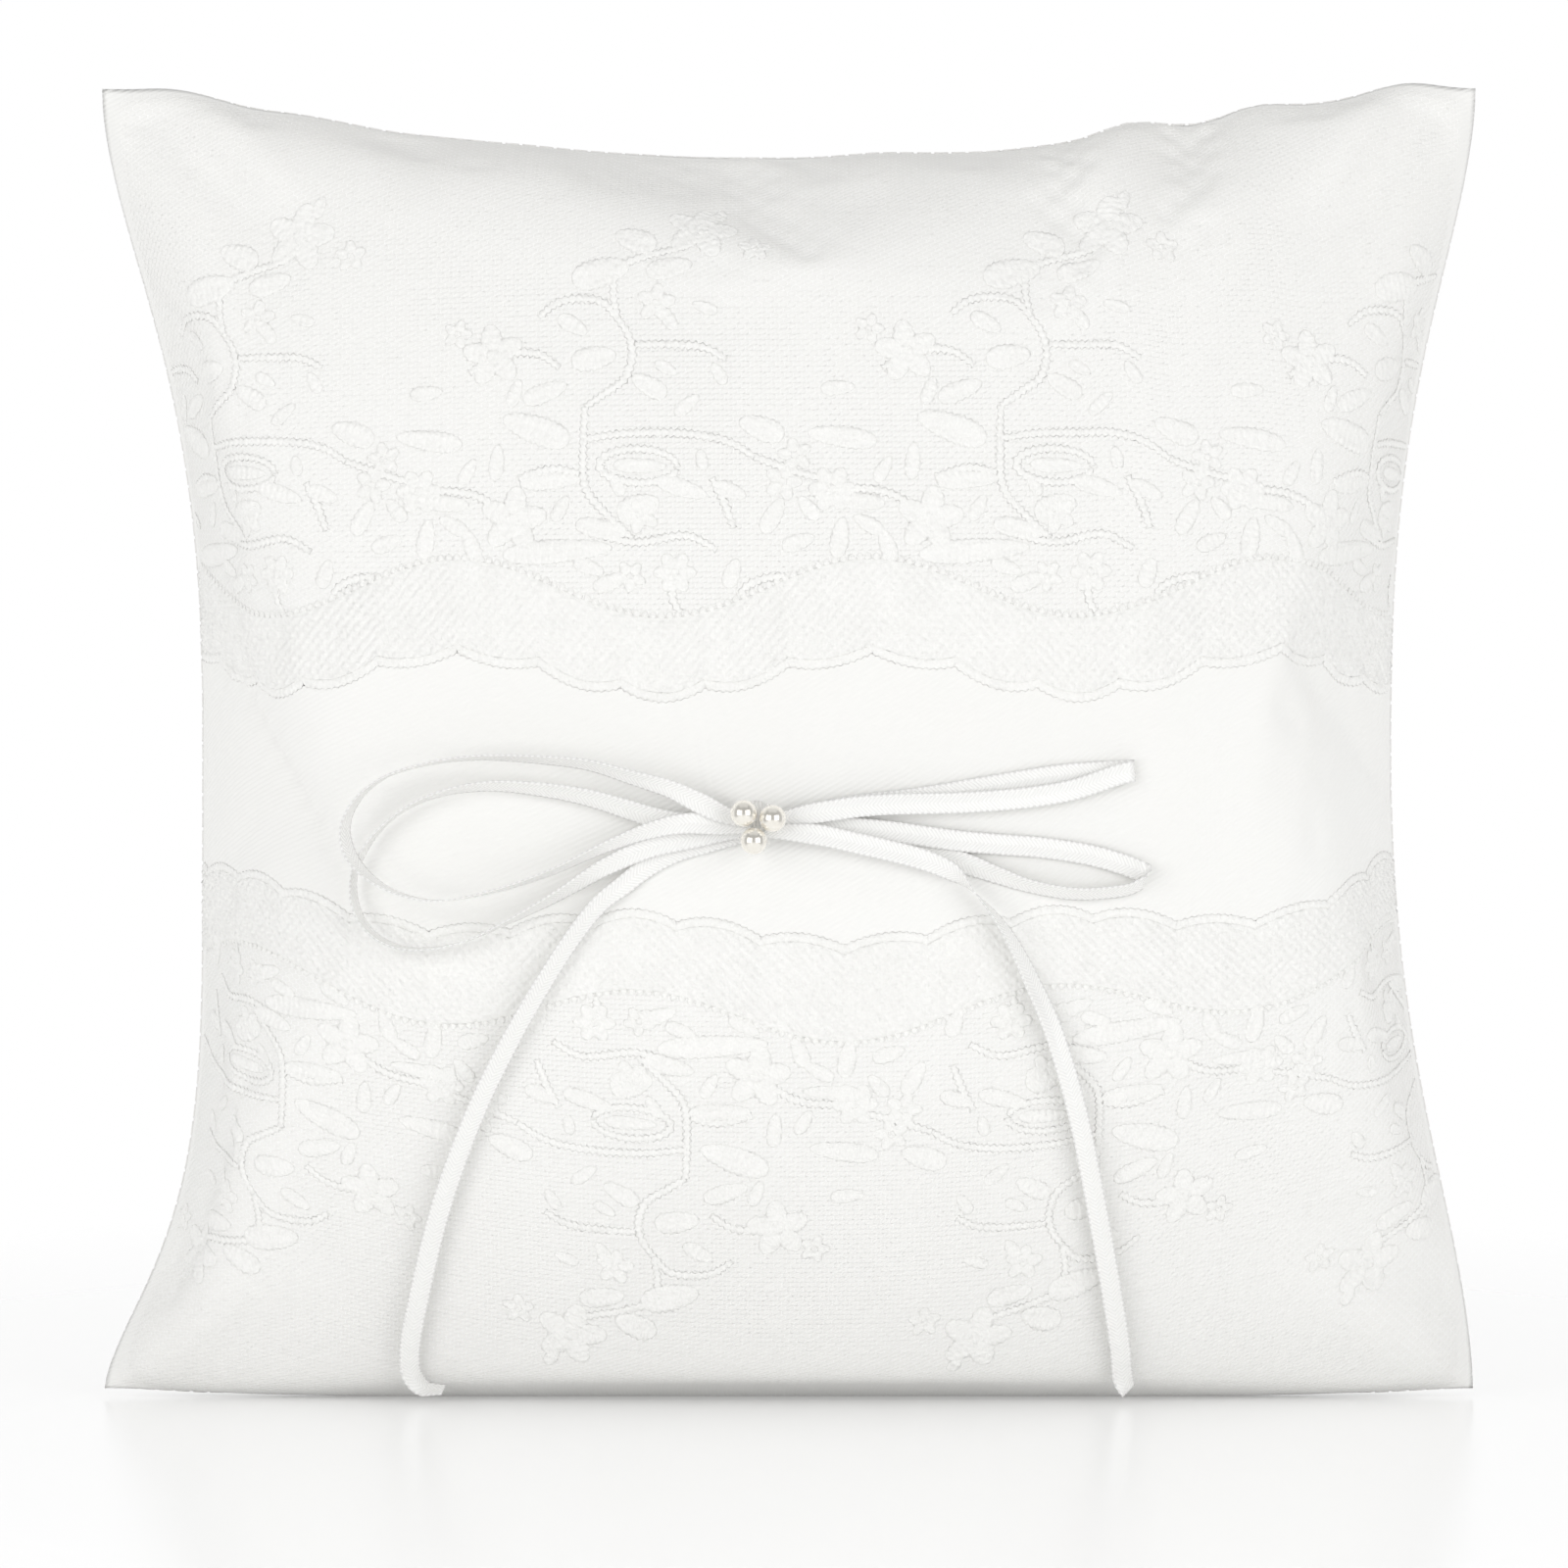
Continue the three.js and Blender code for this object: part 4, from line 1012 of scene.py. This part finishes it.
LEAVES = [
    [-13.7, 18.6, -12, 7, 2.6], [-19.7, 15.6, 4, 15, 3.2], [-8.6, 21.4, 20, 6, 3.8],
    [-28, 27.8, 85, 5, 2], [-20.6, 25.2, 3, 8.4, 2.4], [-2.7, 24.2, -18, 7.2, 2.4],
    [8.1, 32.2, 160, 6.4, 3.2], [-22.6, 32.2, 160, 9.8, 3.8], [0, 28, 100, 3, 1.6],
    [-7.1, 38, 150, 5.4, 2.6], [-21.4, 37.2, 20, 6.4, 2.6], [-14.7, 41.8, 10, 6.2, 3.2],
    [2.4, 39.6, 120, 3.4, 1.7], [-13.7, 53.6, 15, 8.2, 4], [-4.3, 54.2, 12, 6.4, 3],
    [-9, 58.4, 160, 6, 3.6], [-36.5, 22.4, 175, 9.4, 2.2], [-32, 26.6, 60, 4, 1.8],
    [-37.5, 31, 172, 9.4, 2.8], [-38, 37.6, 5, 4.6, 2], [-2, 35.4, 40, 4.2, 1.8],
    [-31.5, 16.4, 110, 4.6, 2.2], [9.6, 20.4, 60, 5.4, 2.4], [13, 16.8, 20, 4.6, 2.2],
    [-4.5, 47.2, 120, 3.6, 1.8], [4, 12.6, 70, 4.2, 2.2], [-12.4, 11.4, 20, 5.2, 2.2],
    [-24, 12.6, -30, 4.6, 2], [2.6, 64.8, 70, 3.4, 1.8], [-33.5, 12.4, 5, 6.5, 1.6],
    [9.5, 10.4, 10, 5.8, 1.4], [-8.4, 27.2, -2, 7.2, 2], [-28.5, 9.8, 20, 5.4, 2.4],
    [-15.4, 13.4, -20, 4.4, 2], [15.5, 12.8, -30, 5.2, 2.4], [18.6, 17.4, 80, 5.6, 2.4],
    [-11.5, 24.6, 120, 3.4, 1.6], [-19.2, 21.4, 60, 4, 1.8], [3.8, 23.8, -20, 4.6, 2.2],
    [-34, 19.2, 150, 4.6, 2], [14.4, 21.4, 130, 4, 2], [-17.6, 46.4, -30, 4.6, 2.2],
    [0.6, 48.6, 160, 3.6, 1.6], [-4.8, 40.4, -30, 3.4, 1.6], [-25.6, 37.2, 70, 4, 1.8],
]
FLOWERS = [
    [-3.7, 12.7, 2.9, 6, 0], [-8.4, 20.6, 2.7, 5, 40], [-25.7, 19.9, 4.6, 5, 10], [11, 25, 2.6, 5, 0],
    [12.6, 28.6, 2.4, 5, 30], [-28.6, 42.5, 4.3, 5, 25], [-6.1, 49.3, 2.7, 5, 10], [0, 60.6, 5.0, 5, 5],
    [7.4, 57.4, 2.3, 5, 20], [-33.6, 45.6, 2.1, 5, 0], [17.6, 24, 3.2, 6, 0], [-19.6, 9.6, 2.2, 5, 0],
    [-9.8, 12.2, 2.2, 5, 50],
]
OVALS = [[-8.6, 27.2, -2, 10.6, 4.6], [-33.5, 12.4, 5, 9.5, 3.6], [9.5, 10.4, 10, 8.6, 3.4]]
# Where the middle one of five repeats starts.
UPPER_MOTIF_AT = 44 * MM
LOWER_MOTIF_AT = -31.5 * MM
STEM_HALF = 0.55 * MM
STEM_STEP = 0.23 * MM
STEM_HEIGHT = 0.25 * MM
LEAF_HEIGHT = 0.3 * MM
FLOWER_CENTRE_HEIGHT = 0.42 * MM
LEAF_ROW = 0.23 * MM
LEAF_COLUMNS = 11


def turned(p, q, direction, along, aside):
    """The place that is along and aside from (p, q), after a turn to direction."""
    turn_cos, turn_sin = math.cos(direction), math.sin(direction)
    return p + along * turn_cos - aside * turn_sin, q + along * turn_sin + aside * turn_cos


def leaf(lace, p, q, direction, length, width, height=LEAF_HEIGHT):
    """A satin-stitched leaf: a closed low shape, raised at its outline, with slanting stitches."""
    along = np.linspace(-1, 1, max(int(length / LEAF_ROW), 7))[:, None]
    side = np.linspace(-1, 1, LEAF_COLUMNS)
    phase = math.pi * length * along / STITCH_PITCH + 1.2 * np.abs(side)
    taper = np.sqrt(np.maximum(1 - np.abs(along) ** 2.4, 0.02)) * (1 - 0.2 * along)
    reach = taper * (1 + 0.07 * np.cos(phase)) * width / 2
    place = turned(p, q, direction, along * length / 2, side * reach)
    rim = np.exp(-(((np.abs(side) - 0.6) / 0.22) ** 2))
    crown = (0.45 * (1 - side**2) + 0.55 * rim) * taper * (0.56 + 0.44 * np.cos(phase))
    outer = lace.point(*place, NET_LIFT + 0.03 * MM + height * crown)
    inner = lace.point(*place, NET_LIFT - 0.02 * MM + 0 * crown)
    return shell(outer, inner)


def within(lace, p, q, margin):
    """Whether a place is on the net, and off the border, by a margin."""
    inside_q = lace.border_line(p) + margin < q < lace.depth - margin
    return abs(p) < LACE_HALF_LENGTH - margin and inside_q


def oval_line(p, q, direction, length, width):
    """The outline of an oval, all but closed, as a line of places."""
    turn = np.linspace(0, 1.96 * math.pi, 40)
    return np.stack(turned(p, q, direction, np.cos(turn) * length / 2, np.sin(turn) * width / 2), -1)


def stem_part(lace, line):
    """The part of a stem that lies on the net, or nothing."""
    line = even_points(line, STEM_STEP)
    line = line[[within(lace, *place, 0.5 * MM) for place in line]]
    if len(line) < 8:
        return []
    wound = 1 + 0.34 * np.cos(2 * math.pi * np.arange(len(line)) * STEM_STEP / STITCH_PITCH)
    half = STEM_HALF * (0.7 + 0.3 * np.sin(np.linspace(0.2, math.pi - 0.2, len(line)))) * wound
    return [ridge(lace, line, half, STEM_HEIGHT, 0.02 * MM, 8)]


def flower_parts(lace, p, q, radius, petals, first_turn):
    """Petals around a small raised centre. They lean a little over each other."""
    parts = []
    for k in range(petals):
        turn = first_turn + 2 * math.pi * k / petals
        petal_p, petal_q = turned(p, q, turn, 0.58 * radius, 0)
        parts.append(leaf(lace, petal_p, petal_q, turn, 0.86 * radius, 0.66 * radius))
    parts.append(leaf(lace, p, q, first_turn, 0.45 * radius, 0.45 * radius, FLOWER_CENTRE_HEIGHT))
    return parts


def spray_parts(lace, start):
    """One repeat of the flowers, leaves and stems, as far as it lies on the net.

    The lower lace is the same lace turned upside down, so its pattern runs the other way.
    """
    way = lace.side
    lines = [curve_points(np.array(stem) * MM, 8) for stem in STEMS]
    for p, q, direction, length, width in OVALS:
        lines.append(oval_line(p * MM, q * MM, math.radians(direction), length * MM, width * MM))
    parts = []
    for line in lines:
        parts += stem_part(lace, line * (way, 1) + (start, 0))
    for p, q, direction, length, width in LEAVES:
        place = (start + way * p * MM, q * MM)
        if within(lace, *place, width * MM / 2):
            parts.append(leaf(lace, *place, math.radians(way * direction), length * MM, width * MM))
    for p, q, radius, petals, turn in FLOWERS:
        place = (start + way * p * MM, q * MM)
        if within(lace, *place, 0.8 * radius * MM):
            parts += flower_parts(lace, *place, radius * MM, petals, math.radians(way * turn))
    return parts


def make_sprays(lace):
    """One piece for each repeat of the embroidery."""
    pieces = []
    middle = UPPER_MOTIF_AT if lace.side > 0 else LOWER_MOTIF_AT
    for number in range(5):
        parts = spray_parts(lace, middle + lace.side * (number - 2) * LACE_REPEAT)
        if parts:
            name = f"embroidery_{lace.label}_{number}"
            pieces.append(make_piece(name, join_pieces(parts), "embroidery"))
    return pieces


# Rows of dots, in millimetres: how far above the border's line, their step, and their width.
LADDER_ROWS = [[0.3, 1.12, 0.9], [-1.3, 1.12, 0.8], [-2.8, 1.4, 0.8]]
LADDER_HEIGHT = 0.24 * MM


def make_ladder(lace):
    """Three rows of small stitched dots along the top of the border."""
    parts = []
    reach = LACE_HALF_LENGTH - 1 * MM
    for above, step, width in LADDER_ROWS:
        for p in np.arange(-reach, reach, step * MM):
            q = lace.border_line(p) + above * MM
            parts.append(leaf(lace, p, q, math.pi / 2, 0.95 * MM, width * MM, LADDER_HEIGHT))
    return make_piece(f"ladder_{lace.label}_stitches", join_pieces(parts), "embroidery")


def make_lace(lace):
    """The net with all that is sewn on it. It is stretched over the front panel."""
    net = make_net(lace)
    border = make_border(lace)
    cord = make_scallop_cord(lace)
    ladder = make_ladder(lace)
    sprays = make_sprays(lace)
    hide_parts(f"lace_net_{lace.label}")
    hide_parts(f"lace_border_{lace.label}")
    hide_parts(f"scallop_cord_{lace.label}")
    nodes = [f"spray_{lace.label}_{k}" for k in range(1, 5)]
    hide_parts(*nodes)


make_lace(UPPER)
make_lace(LOWER)


# ------------------------------------------------------------------ stuffing, seam and stitches

STUFFING_POINTS = 61
STUFFING_INSET = 1.6 * MM
STUFFING_LUMPS = 0.5 * MM


def make_stuffing():
    """Loose fibre fill inside the cover, one closed lumpy body with rounded corners."""
    s, t = square_grid(np.linspace(-0.9, 0.9, STUFFING_POINTS))
    round_s = s * np.sqrt(1 - 0.1 * t**2)
    round_t = t * np.sqrt(1 - 0.1 * s**2)
    lumps = STUFFING_LUMPS * np.sin(40 * round_s + 3 * np.sin(9 * round_t)) * np.sin(37 * round_t)
    sides = [point_at(round_s, round_t, lumps - STUFFING_INSET) for point_at in (front_point, back_point)]
    piece = make_piece("fibre_fill", shell(*sides), "stuffing")
    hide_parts("stuffing")


def thread_tube(line, radius, sides=6):
    """A closed tube along points in space."""
    tangent = unit(np.gradient(line, axis=0))
    side = unit(np.cross(tangent, (0.31, 0.87, 0.38)))
    other = np.cross(tangent, side)
    angle = np.linspace(0, 2 * math.pi, sides, endpoint=False)[:, None]
    around = np.cos(angle) * side[:, None] + np.sin(angle) * other[:, None]
    return tube(line[:, None] + radius * around)


SEAM_SHARE = 0.995
SEAM_STEP = 0.5 * MM
SEAM_THREAD_RADIUS = 0.24 * MM
SEAM_WOBBLE = 0.05 * MM
STITCH_POINTS = 5


def make_seam():
    """Lock stitches that join the two panels all round, just inside their edges."""
    share = np.linspace(-SEAM_SHARE, SEAM_SHARE, 60)
    end = np.full(60, SEAM_SHARE)
    s = np.concatenate([share, end, share[::-1], -end])
    t = np.concatenate([-end, share, end, share[::-1]])
    line = sample(FRONT_GRID, s, t)
    line[:, 1] = SEAM_Y
    line[:, 2] = np.maximum(line[:, 2], 0.6 * MM)
    line = even_points(np.vstack([line, line[:1]]), SEAM_STEP)
    bulge = SEAM_WOBBLE * np.sin(np.linspace(0, math.pi, STITCH_POINTS))
    stitches = []
    for number, first in enumerate(range(0, len(line) - STITCH_POINTS, STITCH_POINTS)):
        stitch = line[first:first + STITCH_POINTS].copy()
        stitch[:, 1] += bulge if number % 2 else -bulge
        stitches.append(thread_tube(stitch, SEAM_THREAD_RADIUS))
    piece = make_piece("seam_stitches", join_pieces(stitches), "thread")
    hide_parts("seam_thread")


# The gap that the cushion was stuffed through, in shares of the back panel, and its hand stitches.
GAP_HALF = 0.34
GAP_AT = -0.8
GAP_STITCH_STEP = 0.024
THREAD_RADIUS = 0.16 * MM


def make_closing():
    """Hand stitches over the gap low on the back, each one a slanting loop of thread."""
    across = np.linspace(0, 1, 9)
    lift = 0.1 * MM + 0.35 * MM * np.sin(math.pi * across)
    stitches = []
    for s in np.arange(-GAP_HALF, GAP_HALF + 0.001, GAP_STITCH_STEP):
        line = back_point(0.01 * across - s, GAP_AT + 0.02 * across, lift)
        stitches.append(thread_tube(line, THREAD_RADIUS))
    piece = make_piece("closing_hand_stitches", join_pieces(stitches), "thread")
    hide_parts("closing_stitches")


TACK_INSET = 2.2 * MM
TACK_RADIUS = 0.17 * MM


def make_bow_stitch():
    """Three turns of thread over the bow's middle."""
    low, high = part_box("bow_stitch")
    middle = (low + high) / 2
    angle = np.linspace(0, math.pi, 17)
    z = middle.z - ((high.z - low.z) / 2 - TACK_INSET) * np.cos(angle)
    y = high.y + (low.y + 0.2 * MM - high.y) * np.sin(angle) ** 0.6
    turns = []
    for shift in (-0.5 * MM, 0, 0.5 * MM):
        x = middle.x + shift + 0.25 * MM * np.cos(angle)
        turns.append(thread_tube(np.stack([x, y, z], -1), TACK_RADIUS, 8))
    piece = make_piece("bow_tacking_thread", join_pieces(turns), "thread")
    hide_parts("bow_stitch")


PEARL_BORE = 0.45 * MM
PEARL_SIDES = 48


def pearl_shape(centre, radius, axis, outward):
    """A ball with a thread bore along axis: its half outline and the bore's wall, spun round."""
    mouth = math.asin(PEARL_BORE / radius)
    polar = np.linspace(mouth, math.pi - mouth, 33)
    profile = np.stack([radius * np.sin(polar), -radius * np.cos(polar)], -1)
    bore = np.stack([np.full(6, 0.93 * PEARL_BORE), np.linspace(profile[-1, 1], profile[0, 1], 6)], -1)
    outline = np.vstack([profile, bore])
    angle = np.linspace(0, 2 * math.pi, PEARL_SIDES, endpoint=False)[:, None]
    spin = np.cos(angle) * outward + np.sin(angle) * np.cross(axis, outward)
    points = centre + outline[:, 0, None, None] * spin + outline[:, 1, None, None] * axis
    faces = grid_quads(len(outline) + 1, PEARL_SIDES, wrap=True) % (len(outline) * PEARL_SIDES)
    return points, faces.tolist()


def make_pearls():
    """Pearls with their bores around the cluster, each with its own strand of thread."""
    centres = []
    for number in (1, 2, 3):
        low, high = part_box(f"pearl_{number}")
        centres.append(np.array((low + high) / 2))
    radius = (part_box("pearl_1")[1].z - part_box("pearl_1")[0].z) / 2
    turn = np.linspace(-1, 1, 15)[:, None]
    for number, centre in enumerate(centres, 1):
        outward = unit((centre - np.mean(centres, axis=0)) * (1, 0, 1))
        axis = np.array([-outward[2], 0, outward[0]])
        piece = make_piece(f"pearl_{number}_bead", pearl_shape(centre, radius, axis, outward), "pearl")
        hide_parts(f"pearl_{number}")
        # The strand leaves the bore at both ends and turns down into the ribbons.
        strand = centre + axis * turn * (radius + 0.3 * MM) + np.abs(turn) ** 6 * (0, 0.5 * MM, 0)
        thread = make_piece(f"pearl_{number}_thread", thread_tube(strand, THREAD_RADIUS, 8), "thread")
        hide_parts(f"pearl_thread_{number}")


make_stuffing()
make_seam()
make_closing()
make_bow_stitch()
make_pearls()


# ------------------------------------------------------------------ studio

# How bright the white surround is to the object: on the camera's side, behind the object, in
# reflections and overhead. The camera itself sees it at BACKDROP.
FRONT_AMBIENT = 0.62
BACK_AMBIENT = 1.0
REFLECTED_SHARE = 0.4
CEILING_SHARE = 0.62
BACKDROP = 1.0


def make_world():
    """A white surround, greyer on the camera's side for all but the camera's own rays."""
    world = bpy.data.worlds.new("studio")
    world.use_nodes = True
    bpy.context.scene.world = world
    nodes = Nodes(world.node_tree)
    direction = nodes.add("TexCoord").outputs["Generated"]
    parts = nodes.add("SeparateXYZ", {"Vector": direction}).outputs
    rays = nodes.add("LightPath").outputs
    ambient = nodes.remap(parts["Y"], -0.5, 0.1, FRONT_AMBIENT, BACK_AMBIENT)
    reflected = nodes.math("MULTIPLY", nodes.remap(parts["Y"], 0.15, -0.15), rays["Is Glossy Ray"])
    dimmed = nodes.math("MULTIPLY", ambient, nodes.remap(reflected, 0, 1, 1, REFLECTED_SHARE))
    ceiling = nodes.remap(parts["Z"], 0.1, 0.9, 1, CEILING_SHARE)
    surround = nodes.math("MULTIPLY", dimmed, ceiling)
    level = nodes.add("Mix", {"Factor": rays["Is Camera Ray"], "A": surround, "B": BACKDROP})
    background = world.node_tree.nodes["Background"]
    nodes.connect(background, {"Color": (1, 1, 1, 1), "Strength": level.outputs["Result"]})


# Area lights: place, size and power in watts. They point at the middle of the cushion.
SOFT_BOXES = {
    "soft_box_left": [(-0.68, -0.95, 0.24), (0.9, 0.85), 4.05],
    "soft_box_right": [(0.68, -0.95, 0.24), (0.9, 0.85), 3.85],
    "top_box": [(0.0, -0.35, 1.1), (1.2, 0.7), 0.9],
}
LIGHT_TARGET = Vector((0, 0, 0.09))


def make_soft_box(name, place, size, power):
    light = bpy.data.objects.new(name, bpy.data.lights.new(name, "AREA"))
    bpy.context.scene.collection.objects.link(light)
    light.data.shape = "RECTANGLE"
    light.data.size, light.data.size_y = size
    light.data.energy = power
    light.location = place
    light.rotation_euler = (LIGHT_TARGET - light.location).to_track_quat("-Z", "Y").to_euler()


TABLE_GLOW = 0.115
FLOOR_CENTRE_Y = -0.1
FLOOR_ASPECT = 1.9
FLOOR_FADE_START = 0.22
FLOOR_FADE_END = 0.5


def make_floor():
    """A white table top that fades into the white surround."""
    bpy.ops.mesh.primitive_grid_add(x_subdivisions=8, y_subdivisions=8, size=3)
    floor = bpy.context.object
    floor.name = "floor"
    material, shader, nodes = new_material("floor")
    place = nodes.add("TexCoord").outputs["Object"]
    shaped = nodes.mapped(place, Location=(0, -FLOOR_CENTRE_Y, 0), Scale=(FLOOR_ASPECT, 1, 1))
    distance = nodes.add("VectorMath", {0: shaped}, operation="LENGTH").outputs["Value"]
    nodes.connect(shader, {
        "Base Color": (0.96, 0.96, 0.96, 1),
        "Roughness": 0.22,
        "Specular IOR Level": 0.35,
        "Emission Color": (1, 1, 1, 1),
        "Emission Strength": TABLE_GLOW,
        "Alpha": nodes.remap(distance, FLOOR_FADE_START, FLOOR_FADE_END, 1, 0),
    })
    floor.data.materials.append(material)


make_world()
for light_name, light_settings in SOFT_BOXES.items():
    make_soft_box(light_name, *light_settings)
make_floor()
bpy.context.scene.view_settings.view_transform = "Standard"
